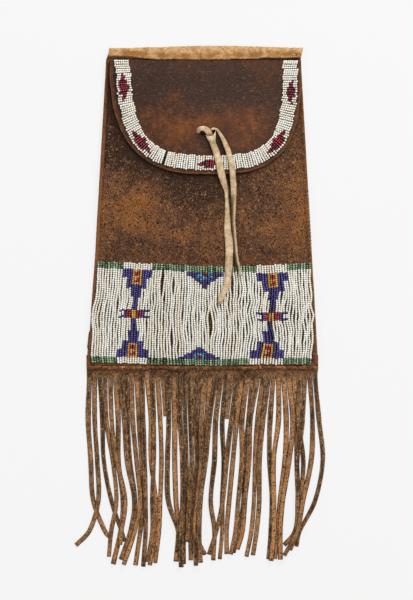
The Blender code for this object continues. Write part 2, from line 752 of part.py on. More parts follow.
class Strand:
    """One strand of the fringe: its route in plan and the heights that it lies at."""

    def __init__(self, number, pitch, left_edge):
        self.root_left = left_edge + number * pitch + CLEAR / 2
        self.root_right = left_edge + (number + 1) * pitch - CLEAR / 2
        self.width = self.root_right - self.root_left
        *drifts, length = STRANDS[number]
        middle = (self.root_left + self.root_right) / 2
        downs = [*STRAND_STATIONS[:len(drifts) - 1], length / 1000]
        route = [Vector((middle, ROOT_LINE_Y))]
        for drift, down in zip(drifts, downs):
            route.append(Vector((middle + drift / 1000, ROOT_LINE_Y - down)))
        self.points = [route[0]]
        for before, start, end, after in spans_of(route):
            turn = (after - end).normalized() - (start - before).normalized()
            if turn.length > STRAND_BEND:
                self.points.append(curve_point(before, start, end, after, 0.5))
            self.points.append(end)
        settled = STRAND_SETTLE / (self.points[0].y - self.points[1].y)
        self.points.insert(1, self.points[0].lerp(self.points[1], settled))
        self.pairs = [self.pair(k) for k in range(len(self.points))]
        self.heights = [0.0] * len(self.points)

    def pair(self, k):
        """Left and right edge points beside a point of the route."""
        if k == 0:
            return Vector((self.root_left, ROOT_LINE_Y)), Vector((self.root_right, ROOT_LINE_Y))
        ahead = self.points[min(k + 1, len(self.points) - 1)] - self.points[k - 1]
        side = Vector((-ahead.y, ahead.x)).normalized()
        share = k / (len(self.points) - 1)
        half = self.width / 2 * lerp(1.0, STRAND_TAPER, share)
        return self.points[k] - side * half, self.points[k] + side * half

    def crossing(self, y):
        """Lowest x, highest x and height of the strand at a distance down, or None."""
        found = []
        for side in (0, 1):
            line = [pair[side] for pair in self.pairs]
            for k in range(len(line) - 1):
                high, low = max(line[k].y, line[k + 1].y), min(line[k].y, line[k + 1].y)
                if low <= y <= high and high > low:
                    share = (line[k].y - y) / (line[k].y - line[k + 1].y)
                    height = lerp(self.heights[k], self.heights[k + 1], share)
                    found.append((lerp(line[k].x, line[k + 1].x, share), height))
        if not found:
            return None
        places = [place for place, _ in found]
        return min(places), max(places), max(height for _, height in found)

    def top_where_crossed(self, other, high_y, low_y):
        """Height of the other strand's top where the two cross, or nought."""
        top = 0.0
        steps = max(2, round((high_y - low_y) / STRAND_LAY_STEP))
        for n in range(steps + 1):
            y = lerp(high_y, low_y, n / steps)
            mine, theirs = self.crossing(y), other.crossing(y)
            if mine is None or theirs is None or y > ROOT_LINE_Y - STRAND_SETTLE:
                continue
            if mine[0] < theirs[1] + STRAND_SIDE_GAP and theirs[0] < mine[1] + STRAND_SIDE_GAP:
                top = max(top, theirs[2] + FRINGE_THICKNESS)
        return top

    def lay_over(self, laid):
        """Rest every section on the strands that are already down."""
        last = len(self.pairs) - 1
        for k in range(1, last + 1):
            high_y = max(place.y for place in self.pairs[k - 1])
            low_y = min(place.y for place in self.pairs[min(k + 1, last)])
            tops = [self.top_where_crossed(other, high_y, low_y) for other in laid]
            top = max(tops, default=0.0)
            self.heights[k] = top + CLEAR if top else 0.0


def lay_strands():
    """Every strand, with those that cross others laid on top of them."""
    left_edge = -BODY_BOTTOM_WIDTH / 2 + FRINGE_INSET
    pitch = -2 * left_edge / len(STRANDS)
    strands = [Strand(number, pitch, left_edge) for number in range(len(STRANDS))]
    layers = []
    for strand in strands:
        low_y = strand.points[-1].y
        free = [layer for layer in layers
                if not any(strand.top_where_crossed(other, ROOT_LINE_Y, low_y) for other in layer)]
        if free:
            free[0].append(strand)
        else:
            layers.append([strand])
    laid = []
    for layer in layers:
        for strand in layer:
            strand.lay_over(laid)
        laid.extend(layer)
    return strands


def make_fringe(material):
    strands = lay_strands()
    verts = []
    faces = []

    def pair(x, y, under):
        """Number of a lower vertex, whose upper one is the next."""
        verts.append((x, y, under))
        verts.append((x, y, under + FRINGE_THICKNESS))
        return len(verts) - 2

    groups = HEADER_GROUPS
    per_group = len(strands) // groups
    edges = [strands[0].root_left]
    edges += [strands[k * per_group - 1].root_right for k in range(1, groups + 1)]
    bend_y = lerp(BODY_BOTTOM_Y, ROOT_LINE_Y, HEADER_BEND)
    header_lines = []
    for y in (BODY_BOTTOM_Y + FRINGE_SEAM_DEPTH, BODY_BOTTOM_Y, bend_y):
        header_lines.append([pair(x, y, header_under(y)) for x in edges])
    roots = []
    for strand in strands:
        roots.append(pair(strand.root_left, ROOT_LINE_Y, 0.0))
        roots.append(pair(strand.root_right, ROOT_LINE_Y, 0.0))

    for upper, lower in zip(header_lines, header_lines[1:]):
        for k in range(groups):
            patch = (upper[k], upper[k + 1], lower[k + 1], lower[k])
            faces.append(patch)
            faces.append(tuple(number + 1 for number in patch))
    low_line = header_lines[-1]
    for k in range(groups):
        below = roots[2 * per_group * k - (1 if k else 0): 2 * per_group * (k + 1)]
        for level in (0, 1):
            for start, end in zip(below, below[1:]):
                faces.append((low_line[k] + level, start + level, end + level))
            faces.append((low_line[k] + level, below[-1] + level, low_line[k + 1] + level))

    top = header_lines[0]
    rim = [*reversed(top)] + [line[0] for line in header_lines[1:]] + [roots[0]]
    right_rim = [roots[-1]] + [line[-1] for line in reversed(header_lines[1:])] + [top[-1]]
    for line in (rim, right_rim):
        for start, end in zip(line, line[1:]):
            faces.append((start, end, end + 1, start + 1))
    for k in range(1, len(roots) - 1, 2):
        faces.append((roots[k], roots[k + 1], roots[k + 1] + 1, roots[k] + 1))

    for number, strand in enumerate(strands):
        left, right = roots[2 * number], roots[2 * number + 1]
        for (left_point, right_point), height in zip(strand.pairs[1:], strand.heights[1:]):
            next_left = pair(*left_point, height)
            next_right = pair(*right_point, height)
            faces.append((left, right, next_right, next_left))
            faces.append((left + 1, right + 1, next_right + 1, next_left + 1))
            faces.append((left, next_left, next_left + 1, left + 1))
            faces.append((right, next_right, next_right + 1, right + 1))
            left, right = next_left, next_right
        faces.append((left, right, right + 1, left + 1))
    return add_object("fringe", verts, faces, material)


def make_bottom_welt(material, stations=16):
    high_y = BODY_BOTTOM_Y - CLEAR
    reach = BODY_BOTTOM_WIDTH / 2 - FRINGE_INSET
    sections = []
    for k in range(stations + 1):
        x = lerp(-reach, reach, k / stations)
        lump = BOTTOM_WELT_LUMP * (math.sin(2.1 * k) + math.sin(0.9 * k + 1))
        section = []
        for share, lift in ((0.0, 0.0), (0.0, 0.6), (0.3, 1.0), (0.75, 0.85), (1.0, 0.3), (1.0, 0.0)):
            y = high_y - BOTTOM_WELT_WIDTH * share
            rest = header_under(y) + FRINGE_THICKNESS + CLEAR
            section.append((x, y, rest + lift * (BOTTOM_WELT_HEIGHT + lump)))
        sections.append(section)
    return loft("bottom_welt", sections, material)


def even_points(route, step):
    """Points at even steps along a smooth curve through the route."""
    curve = []
    for before, start, end, after in spans_of(route):
        curve.extend(
            curve_point(before, start, end, after, piece / SPAN_PIECES)
            for piece in range(SPAN_PIECES)
        )
    curve.append(route[-1])
    reach = [0.0]
    for before, after in zip(curve, curve[1:]):
        reach.append(reach[-1] + (after - before).length)
    count = max(2, round(reach[-1] / step))
    found = []
    for n in range(count + 1):
        target = reach[-1] * n / count
        k = next(i for i, run in enumerate(reach) if run >= target - 1e-9)
        if k == 0:
            found.append(curve[0])
            continue
        part = (target - reach[k - 1]) / (reach[k] - reach[k - 1])
        found.append(curve[k - 1].lerp(curve[k], part))
    return found


def on_border(x, y, spare):
    """Whether a place is over the flap's bead border, or within spare of it."""
    inner = BORDER_MARGIN + BORDER_WIDTH + spare
    return on_flap(x, y, spare - BORDER_MARGIN) and not on_flap(x, y, -inner)


def on_flap(x, y, grow):
    """Whether a place is over the flap, grown or shrunk all round."""
    depth = (ROOT_Y - y) / (FLAP_DROP + grow)
    side = abs(x - FLAP_CENTRE) / (FLAP_HALF_WIDTH + grow)
    return depth >= 0 and depth**FLAP_ROUNDNESS + side**FLAP_ROUNDNESS <= 1


def tail_rest(x, y, spare=0.003):
    """Height of whatever lies under a tail of the thong."""
    panel_top_y = PANEL_BOTTOM_Y + PANEL_HEIGHT
    level = front_top(x, y)
    if y < panel_top_y + spare:
        return level + CLEAR + BEAD_HEIGHT
    if on_border(x, y, spare):
        return flap_top(x, y) + CLEAR + BEAD_HEIGHT
    if on_flap(x, y, spare):
        return flap_top(x, y)
    return level


def ribbon(name, points, turns, widths, material, parent):
    """A flat strip along points in space, turned about its own run."""
    sections = []
    for k, point in enumerate(points):
        ahead = (points[min(k + 1, len(points) - 1)] - points[max(k - 1, 0)]).normalized()
        side = Vector((-ahead.y, ahead.x, 0.0)).normalized()
        face = ahead.cross(side)
        across = side * math.cos(turns[k]) + face * math.sin(turns[k])
        through = face * math.cos(turns[k]) - side * math.sin(turns[k])
        corners = []
        for a, b in ((-1, -1), (1, -1), (1, 1), (-1, 1)):
            reach = a * widths[k] / 2
            corners.append(point + across * reach + through * (b * THONG_THICKNESS / 2))
        sections.append(corners)
    return loft(name, sections, material, parent)


def make_tail(name, route, turn, material, hinge):
    """One free end of the thong, laid over whatever is under it."""
    line = even_points([below_root(place) for place in route], THONG_STEP)
    start, end, angle = turn
    count = len(line) - 1
    turns = [angle * ease((k / count - start) / (end - start)) for k in range(count + 1)]
    points = []
    for k, point in enumerate(line):
        half = abs(math.sin(turns[k])) * THONG_WIDTH / 2 + math.cos(turns[k]) * THONG_THICKNESS / 2
        near = line[max(k - 1, 0):k + 2]
        rest = max(tail_rest(place.x, place.y) for place in near) + 2 * CLEAR
        points.append(Vector((point.x, point.y, rest + half)))
    return ribbon(name, points, turns, [THONG_WIDTH] * (count + 1), material, hinge)


def make_knot(material, hinge):
    """The strip's loop: out of the left slit, up, over, and down to the collar."""
    slit = below_root(SLIT_LEFT)
    tail_start = below_root(LEFT_TAIL[0])
    back = (tail_start - below_root(LEFT_TAIL[1])).normalized()
    collar = tail_start + back * CLEAR
    rest = 2 * CLEAR + THONG_THICKNESS / 2
    route = (
        (slit, -LEATHER - THONG_THICKNESS / 2, 0.8),
        (slit + Vector((0.0001, 0.0)), KNOT_RISE * 0.3, 0.8),
        (slit.lerp(collar, 0.30) + Vector((0.0, 0.0034)), KNOT_RISE, 0.9),
        (slit.lerp(collar, 0.65) + Vector((0.0, 0.0030)), KNOT_RISE * 0.9, 1.0),
        (collar + back * 0.0042, KNOT_RISE * 0.35, 1.4),
        (collar + back * 0.0020, 0.0, 1.5),
        (collar, 0.0, 1.2),
    )
    points = [Vector((place.x, place.y, flap_top(place.x, place.y) + rest + lift))
              for place, lift, _ in route]
    widths = [THONG_WIDTH * share for _, _, share in route]
    return ribbon("thong_knot", points, [0.0] * len(route), widths, material, hinge)


def make_hinge():
    """An empty on the flap's fold line, high enough for the beads to clear the binding."""
    bead_top = flap_top(FLAP_CENTRE, BINDING_LOW_Y - BINDING_DEPTH) + CLEAR + BEAD_HEIGHT
    hinge = bpy.data.objects.new("flap_hinge", None)
    hinge.location = (0.0, HINGE_Y, (BINDING_HEIGHT + CLEAR + bead_top) / 2)
    bpy.context.scene.collection.objects.link(hinge)
    return hinge


def main():
    clear_scene()
    leather = make_material("smoked_leather", (0.150, 0.068, 0.033), 0.62)
    edge_leather = make_material("raw_edge_leather", (0.330, 0.125, 0.045), 0.70)
    hide = make_material("tan_hide", (0.560, 0.305, 0.135), 0.75)
    fringe_leather = make_material("fringe_leather", (0.190, 0.095, 0.045), 0.70)
    buckskin = make_material("buckskin", (0.620, 0.450, 0.270), 0.85)
    colours = {
        "green": make_material("green_glass", (0.030, 0.110, 0.060), 0.25),
        "blue": make_material("blue_glass", (0.020, 0.015, 0.130), 0.20),
        "yellow": make_material("yellow_glass", (0.720, 0.440, 0.090), 0.30),
        "turquoise": make_material("turquoise_glass", (0.050, 0.320, 0.450), 0.25),
        "red": make_material("red_glass", (0.230, 0.010, 0.025), 0.20),
        "white": make_material("white_glass", (0.830, 0.790, 0.700), 0.35),
    }
    make_back_panel(leather)
    make_front_panel(leather)
    make_side_welt("side_welt_left", -1, edge_leather)
    make_side_welt("side_welt_right", 1, edge_leather)
    make_binding(hide)
    make_bottom_welt(edge_leather)
    make_fringe(fringe_leather)
    make_panel_beads(colours)
    hinge = make_hinge()
    make_flap(leather, hinge)
    make_border_beads(colours, hinge)
    make_knot(buckskin, hinge)
    make_tail("thong_tail_left", LEFT_TAIL, (0.5, 0.6, 0.0), buckskin, hinge)
    make_tail("thong_tail_right", RIGHT_TAIL, RIGHT_TAIL_TURN, buckskin, hinge)


main()
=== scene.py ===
"""The looks of a beaded hide dispatch bag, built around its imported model.

X runs across the bag, Y towards the flap's fold, and Z up from the surface that the bag
lies on. Sizes are in metres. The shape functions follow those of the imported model, with the
hide's swells, the uneven left edge and the strings' stray lines added.
"""
import json
import math
import random

import bmesh
import bpy
from mathutils import Vector, kdtree, noise
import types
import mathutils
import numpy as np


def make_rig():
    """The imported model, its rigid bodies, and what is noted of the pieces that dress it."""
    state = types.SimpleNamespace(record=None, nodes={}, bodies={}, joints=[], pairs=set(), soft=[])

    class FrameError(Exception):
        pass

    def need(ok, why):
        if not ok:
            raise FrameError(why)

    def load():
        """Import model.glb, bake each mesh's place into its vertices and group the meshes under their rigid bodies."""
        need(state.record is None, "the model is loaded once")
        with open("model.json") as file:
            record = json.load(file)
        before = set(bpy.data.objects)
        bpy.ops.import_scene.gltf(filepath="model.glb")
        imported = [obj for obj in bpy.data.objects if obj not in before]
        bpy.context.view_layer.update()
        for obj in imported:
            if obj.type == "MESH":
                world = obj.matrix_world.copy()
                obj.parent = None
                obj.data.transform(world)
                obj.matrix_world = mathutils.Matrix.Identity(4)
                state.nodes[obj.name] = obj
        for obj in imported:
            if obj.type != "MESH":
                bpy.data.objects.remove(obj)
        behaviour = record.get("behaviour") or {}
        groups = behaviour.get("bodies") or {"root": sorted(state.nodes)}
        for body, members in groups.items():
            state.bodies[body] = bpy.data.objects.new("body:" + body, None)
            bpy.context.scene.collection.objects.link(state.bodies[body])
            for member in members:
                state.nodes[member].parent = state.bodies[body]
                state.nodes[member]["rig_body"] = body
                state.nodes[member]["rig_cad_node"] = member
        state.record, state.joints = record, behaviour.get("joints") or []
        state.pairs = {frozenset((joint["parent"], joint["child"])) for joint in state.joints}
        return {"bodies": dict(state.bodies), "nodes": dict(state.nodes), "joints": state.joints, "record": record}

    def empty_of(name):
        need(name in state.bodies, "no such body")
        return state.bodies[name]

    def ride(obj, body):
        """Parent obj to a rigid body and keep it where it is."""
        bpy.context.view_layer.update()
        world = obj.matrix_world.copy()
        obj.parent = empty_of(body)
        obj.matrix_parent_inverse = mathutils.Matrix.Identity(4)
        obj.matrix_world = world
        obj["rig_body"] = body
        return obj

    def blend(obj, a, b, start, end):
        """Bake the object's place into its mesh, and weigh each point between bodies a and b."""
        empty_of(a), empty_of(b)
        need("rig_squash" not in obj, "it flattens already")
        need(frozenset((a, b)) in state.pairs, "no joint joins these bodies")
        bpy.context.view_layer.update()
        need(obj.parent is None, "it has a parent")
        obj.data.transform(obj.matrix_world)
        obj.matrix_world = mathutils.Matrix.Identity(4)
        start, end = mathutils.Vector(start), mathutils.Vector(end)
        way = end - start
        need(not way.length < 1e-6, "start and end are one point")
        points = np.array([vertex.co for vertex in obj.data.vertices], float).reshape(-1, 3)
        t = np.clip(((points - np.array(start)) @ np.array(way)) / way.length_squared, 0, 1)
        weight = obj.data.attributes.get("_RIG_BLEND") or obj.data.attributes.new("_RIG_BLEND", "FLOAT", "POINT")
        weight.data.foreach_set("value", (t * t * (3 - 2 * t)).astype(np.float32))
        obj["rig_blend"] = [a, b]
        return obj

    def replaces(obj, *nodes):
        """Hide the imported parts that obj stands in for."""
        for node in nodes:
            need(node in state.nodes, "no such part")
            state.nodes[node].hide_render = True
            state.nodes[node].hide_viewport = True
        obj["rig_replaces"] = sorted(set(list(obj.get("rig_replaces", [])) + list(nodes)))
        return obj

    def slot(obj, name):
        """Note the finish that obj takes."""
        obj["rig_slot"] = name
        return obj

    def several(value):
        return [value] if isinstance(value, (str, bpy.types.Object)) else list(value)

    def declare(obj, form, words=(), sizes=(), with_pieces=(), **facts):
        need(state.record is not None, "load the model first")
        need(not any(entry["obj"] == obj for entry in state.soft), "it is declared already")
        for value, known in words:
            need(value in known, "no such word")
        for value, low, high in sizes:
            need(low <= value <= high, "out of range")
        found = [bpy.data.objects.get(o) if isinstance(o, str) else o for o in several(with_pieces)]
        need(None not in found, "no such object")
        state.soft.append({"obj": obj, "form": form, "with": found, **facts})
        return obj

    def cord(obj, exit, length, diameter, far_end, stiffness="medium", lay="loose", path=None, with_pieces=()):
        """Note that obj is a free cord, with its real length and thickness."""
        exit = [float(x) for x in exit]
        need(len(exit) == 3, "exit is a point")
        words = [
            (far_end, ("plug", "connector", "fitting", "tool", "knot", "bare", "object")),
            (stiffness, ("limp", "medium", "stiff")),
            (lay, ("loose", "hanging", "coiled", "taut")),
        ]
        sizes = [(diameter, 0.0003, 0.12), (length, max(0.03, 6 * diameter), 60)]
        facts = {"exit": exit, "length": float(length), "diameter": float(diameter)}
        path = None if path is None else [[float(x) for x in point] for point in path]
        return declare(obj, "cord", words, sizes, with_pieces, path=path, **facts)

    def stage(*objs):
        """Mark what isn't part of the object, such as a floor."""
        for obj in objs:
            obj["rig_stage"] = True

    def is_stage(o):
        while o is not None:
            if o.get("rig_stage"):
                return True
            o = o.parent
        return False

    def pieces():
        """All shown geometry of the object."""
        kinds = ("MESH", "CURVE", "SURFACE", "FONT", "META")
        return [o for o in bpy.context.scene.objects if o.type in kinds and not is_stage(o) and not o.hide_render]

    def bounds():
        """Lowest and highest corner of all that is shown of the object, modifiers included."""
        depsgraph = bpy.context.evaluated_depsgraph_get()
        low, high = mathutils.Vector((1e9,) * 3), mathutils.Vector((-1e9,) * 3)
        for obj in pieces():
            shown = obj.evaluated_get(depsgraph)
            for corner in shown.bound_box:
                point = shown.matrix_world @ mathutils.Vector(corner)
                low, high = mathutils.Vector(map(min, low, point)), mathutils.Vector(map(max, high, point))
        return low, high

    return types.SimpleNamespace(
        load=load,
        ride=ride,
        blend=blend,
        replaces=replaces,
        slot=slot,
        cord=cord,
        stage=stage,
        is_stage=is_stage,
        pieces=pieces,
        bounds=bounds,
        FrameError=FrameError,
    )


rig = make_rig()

bl_info = {
    "name": "Beaded Dispatch Bag",
    "version": (1, 0, 0),
    "blender": (4, 5, 0),
    "location": "3D Viewport > Sidebar > Bag",
    "description": "Builds the hide, beads, fringe and thong of a dispatch bag",
    "category": "Add Mesh",
}

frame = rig.load()
CAD_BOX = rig.bounds()
MM = 0.001

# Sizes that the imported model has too
LEATHER = 0.0020
CLEAR = 0.0003
BODY_LENGTH = 0.2520
BODY_TOP_WIDTH = 0.1560
BODY_BOTTOM_WIDTH = 0.1846
FRONT_INSET = 0.0008
WELT_WIDTH = 0.0060
WELT_THICKNESS = 0.0018
FULLNESS = 0.0058
FULLNESS_RISE = 0.1100
FULLNESS_FALL = 0.0850
FULLNESS_TOP_GAP = 0.0060
MOUTH_BELOW_TOP = 0.0200
MOUTH_SCOOP = 0.0300
BINDING_DEPTH = 0.0100
BINDING_LEAF = 0.0012
BINDING_ROLL = 0.0034
BINDING_COVER = 0.0016
FLAP_LEFT = -0.0744
FLAP_RIGHT = 0.0782
FLAP_DROP = 0.0916
FLAP_LEFT_ROUNDNESS = 2.6
FLAP_RIGHT_ROUNDNESS = 3.2
BORDER_MARGIN = 0.0030
BORDER_STRING_PITCH = 0.00188
BORDER_BEAD_LENGTH = 0.00166
BORDER_ROWS = 7
PANEL_STRINGS = 82
PANEL_ROWS = 48
PANEL_HEIGHT = 0.0812
PANEL_SIDE_MARGIN = 0.0027
PANEL_BOTTOM_MARGIN = 0.0004
PANEL_TOP_DIP = 0.0030
BEAD_HEIGHT = 0.0019
FRINGE_THICKNESS = 0.0018
FRINGE_SEAM_DEPTH = 0.0080
FRINGE_HEADER = 0.0110
FRINGE_INSET = 0.0005
FRINGE_FALL = 0.0080
STRAND_STATIONS = (0.033, 0.065, 0.097, 0.121)
BOTTOM_WELT_WIDTH = 0.0032
BOTTOM_WELT_HEIGHT = 0.0022
THONG_WIDTH = 0.0048
THONG_THICKNESS = 0.0015

# The binding's ends lie 1.0 and 0.2 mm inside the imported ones
BINDING_LEFT = -0.0750
BINDING_RIGHT = 0.0798

# Places that follow from the sizes above
BODY_TOP_Y = BODY_LENGTH / 2
BODY_BOTTOM_Y = -BODY_LENGTH / 2
SEAM_UNDER = LEATHER + CLEAR + WELT_THICKNESS + CLEAR
BINDING_TOP_Y = BODY_TOP_Y + BINDING_COVER
BINDING_LOW_Y = BINDING_TOP_Y - BINDING_DEPTH
BACK_LIFT = BINDING_LEAF + CLEAR
ROOT_UNDER = BACK_LIFT + LEATHER + CLEAR
BINDING_HEIGHT = ROOT_UNDER + BINDING_ROLL
HORN_Y = BODY_TOP_Y - MOUTH_BELOW_TOP
ROOT_Y = BINDING_LOW_Y - CLEAR
FLAP_CENTRE = (FLAP_LEFT + FLAP_RIGHT) / 2
FLAP_HALF_WIDTH = (FLAP_RIGHT - FLAP_LEFT) / 2
FLAP_ROUNDNESS = (FLAP_LEFT_ROUNDNESS + FLAP_RIGHT_ROUNDNESS) / 2
BORDER_WIDTH = BORDER_ROWS * BORDER_BEAD_LENGTH
PANEL_BOTTOM_Y = BODY_BOTTOM_Y + PANEL_BOTTOM_MARGIN
ROOT_LINE_Y = BODY_BOTTOM_Y - FRINGE_HEADER

# Rows of the cross between a figure's two halves, and of the green runs
FIGURE_CROSS_ROWS = 4
GREEN_ROWS = 3
# Where the green runs start and end, by string
TOP_GREEN = (("left", 0, 10), ("middle", 22, 61), ("right", 73, PANEL_STRINGS))
BOTTOM_GREEN = (("left", 0, 10), ("middle", 22, 59), ("right", 71, PANEL_STRINGS))
# Motif steps, each as first row, last row and strings either side of the centre
FIGURE_UPPER_ROWS = ((0, 4, 6), (4, 9, 4), (9, 13, 2), (13, 19, 1))
FIGURE_UPPER_PATCH_ROWS = ((0, 7, 2),)
FIGURE_LOWER_ROWS = ((0, 5, 2), (5, 9, 4), (9, 13, 6))
FIGURE_LOWER_PATCH_ROWS = ((6, 13, 2),)
TOP_CENTRE_ROWS = ((0, 2, 7), (2, 3, 5), (3, 4, 4), (4, 5, 3), (5, 6, 2), (6, 8, 1))
TOP_CENTRE_RING_ROWS = ((0, 3, 3), (3, 4, 2))
TOP_CENTRE_CORE_ROWS = ((0, 2, 1),)
BOTTOM_CENTRE_ROWS = ((0, 1, 1), (1, 2, 2), (2, 3, 3), (3, 4, 5), (4, 5, 6), (5, 6, 8))
BOTTOM_CENTRE_RING_ROWS = ((3, 6, 2),)
BOTTOM_CENTRE_CORE_ROWS = ((4, 6, 1),)
BORDER_TRIANGLE_ROWS = ((1, 2, 3), (2, 3, 6), (3, 4, 5), (4, 5, 3), (5, 6, 1))
BORDER_TRIANGLES = (
    ("left_upper", 0.086, 0),
    ("left_lower", 0.272, 0),
    ("bottom", 0.502, 1),
    ("right_lower", 0.730, 0),
    ("right_upper", 0.899, 1),
)
# Places where neighbouring strings have parted, as the string to the right of the
# parting, its first and last row, and its width in millimetres
PARTINGS = (
    (26, 1, 16, 2.3), (30, 5, 15, 1.5), (44, 20, 36, 2.2), (52, 3, 16, 1.7),
    (27, 12, 19, 0.9), (30, 31, 40, 1.0), (54, 6, 16, 0.7), (57, 3, 13, 0.5),
    (37, 28, 36, 0.6), (34, 18, 27, 0.5), (58, 14, 24, 0.6), (49, 34, 41, 0.6),
    (62, 8, 17, 0.6), (21, 25, 34, 0.5), (9, 14, 24, 0.5), (3, 18, 32, 0.8),
    (72, 28, 45, 0.8), (75, 34, 46, 0.7), (78, 30, 44, 0.8), (70, 8, 20, 0.6),
    (79, 8, 20, 0.5), (41, 8, 17, 0.4), (47, 12, 22, 0.5), (32, 36, 45, 0.6),
)
# How far some strings have drifted to the right down the panel: the share of its
# height and millimetres for each of the strings
DRIFT_STRINGS = (0, 10, 22, 32, 48, 60, 72, 82)
PANEL_DRIFT = (
    (0.00, (0.8, 1.1, -0.3, -0.5, -0.5, 0.7, 0.3, 1.1)),
    (0.25, (1.2, 0.4, -1.0, -0.7, -0.5, 1.2, 1.0, 0.4)),
    (0.37, (0.9, 0.0, -1.4, -0.9, -0.5, 0.7, 0.4, 0.0)),
    (0.44, (-0.7, -0.6, -1.9, -1.1, -0.5, 0.2, -0.2, 0.4)),
    (0.52, (-1.4, -1.0, -2.1, -1.4, -0.5, -0.1, -0.7, 1.3)),
    (0.62, (-1.2, -1.0, -2.2, -1.2, -0.6, 0.1, -0.2, 0.6)),
    (0.75, (-0.5, -1.1, -2.3, -0.9, -0.8, 0.4, 0.5, -1.4)),
    (0.93, (0.0, -1.5, -2.4, 0.1, -1.8, -2.4, -1.4, -2.7)),
    (1.00, (0.9, -0.6, -3.3, 1.0, -2.1, -2.8, -1.7, -3.3)),
)
# How far the panel's top stands above its even curve, as side and millimetres
PANEL_RISE = (
    (-1.0, 1.3), (-0.85, 1.6), (-0.7, 1.5), (-0.5, 1.7), (-0.38, 2.0), (-0.15, 0.8),
    (0.0, 0.1), (0.5, 0.1), (0.8, 0.2), (1.0, 0.2),
)
# How far the panel's bottom stands above its straight line, in the same terms
PANEL_LOW_RISE = (
    (-1.0, 1.7), (-0.8, 1.5), (-0.55, 1.1), (-0.3, 0.3), (-0.1, -0.4), (0.2, -0.6),
    (0.45, 0.0), (0.6, 0.4), (0.8, 0.3), (1.0, 0.6),
)
# How far the border lies in from its even margin, as share of its length and millimetres
BORDER_SHIFT = (
    (0.0, 0.4), (0.03, 1.6), (0.053, 2.4), (0.108, 2.3), (0.163, 1.8), (0.22, 0.7),
    (0.26, 0.2), (0.30, 0.0), (1.0, 0.0),
)

# Where strings of the border have parted: the share of its length and millimetres
BORDER_PARTINGS = ((0.362, 2.0),)

# Each strand's drift to the right of its root at the stations and at its tip, then
# its length below the header, all in millimetres, from left to right
STRANDS = (
    (-1, 1, 3, 12, 16, 126), (0, 2, 3, -4, -15, 133), (2, 3, 9, 17, 20, 130),
    (1, 6, 9, 5, 3, 142), (1, 5, 12, 9, 8, 132), (2, 2, 6, 4, -2, 148),
    (3, 5, 11, 8, 0, 144), (1, 3, 7, 5, 1, 139), (1, 4, 7, 3, -6, 148),
    (2, 4, 6, 3, -1, 149), (1, 2, 3, 3, 1, 150), (3, 3, 7, 7, 2, 149),
    (1, 1, 0, 0, -4, 146), (2, 3, 2, 1, -2, 147), (2, 30),
    (0.5, -0.6, 0, 8, 7, 138), (1, 1, 2, 4, 2, 146), (1, 3, 3, 2, 2, 150),
    (1, 2, 2, 0, 0, 148), (1, 2, 0, -1, -2, 130), (1, 2, -1, -3, -3, 145),
    (1, 1, -2, -4, -3, 149), (-3, -3, -6, -8, 0, 140), (-3, -5, -9, -10, -10, 145),
    (-5, -8, -12, -13, -12, 146), (-4, -5, -8, -5, -6, 145), (-3, -2, -3, -3, -5, 144),
    (-4, 32), (-4, -8, -11, -16, -22, 140), (-4, -7, -10, -12, -12, 140),
    (-4, -4, -7, -9, -13, 140), (-3, -6, -7, -10, -15, 139), (-6, -7, -10, -12, -16, 136),
    (-4, -6, -7, -9, -13, 142), (-4, -7, -7, -9, -12, 141), (-2.5, -3, -1, -2, -4, 144),
    (0, -4, -4, -4, -6, 145), (2, 1, -3, -5, -7, 144), (3, 0, -5, -7, -7, 144),
    (2, 2, 3, 1, -8, 133), (-1, 3, 1, -1, -6, 131), (-2, -6, -6, -7, -12, 136),
    (2, 1, -6, -11, -21, 140), (3, 6, 0, -12, -15, 134),
)
# Strands that show darker or lighter than the rest, from 0 dark to 1 light
STRAND_TONES = {2: 0.15, 7: 0.1, 11: 0.95, 17: 0.15, 18: 0.1, 19: 0.2, 23: 0.75, 31: 0.3, 38: 0.7}

# The tails' centre lines over the closed flap and the front panel, across from the
# middle and down from the flap's root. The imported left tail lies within 1 mm of this one,
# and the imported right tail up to 2 mm aside, with its start 6 mm further right.
LEFT_TAIL = (
    (0.0062, 0.0628), (0.0070, 0.0650), (0.0084, 0.0692), (0.0101, 0.0733),
    (0.0110, 0.0769), (0.0131, 0.0840), (0.0140, 0.0892), (0.0153, 0.0944),
    (0.0170, 0.1000), (0.0183, 0.1045), (0.0187, 0.1095), (0.0193, 0.1225),
    (0.0195, 0.1357), (0.0203, 0.1422), (0.0209, 0.1488), (0.0208, 0.1553),
    (0.0202, 0.1684), (0.0196, 0.1750), (0.0180, 0.1815), (0.0151, 0.1881),
    (0.0131, 0.1940),
)
RIGHT_TAIL = (
    (0.0061, 0.0564), (0.0087, 0.0557), (0.0109, 0.0562), (0.0130, 0.0590),
    (0.0156, 0.0635), (0.0179, 0.0684), (0.0198, 0.0733), (0.0217, 0.0804),
    (0.0225, 0.0840), (0.0232, 0.0892), (0.0237, 0.0944), (0.0242, 0.1029),
    (0.0242, 0.1160), (0.0240, 0.1291), (0.0246, 0.1357), (0.0250, 0.1422),
    (0.0258, 0.1488), (0.0263, 0.1553), (0.0274, 0.1619), (0.0290, 0.1671),
    (0.0296, 0.1723),
)
# Where each tail starts and ends turning over, as share of its length, and how far
LEFT_TAIL_TURN = (0.5, 0.6, 0.0)
RIGHT_TAIL_TURN = (0.36, 0.62, math.radians(48))

# The camera looks straight down on the middle of the photograph's frame
PHOTO_SIZE = (413, 600)
PIXEL = 0.0008
FRAME_CENTRE = (0.0028, -0.0740)
LENS = 100.0
SENSOR = 36.0
# The share of plain pale colour, without light or shadow, that the eye sees in the floor
FLOOR_GLOW = 0.86
FLOOR_SIZE = 60
FLOOR_PAPER = "#F1F1F1"
FLOOR_PALE = "#F8F8F8"
WORLD_LIGHT = 0.42
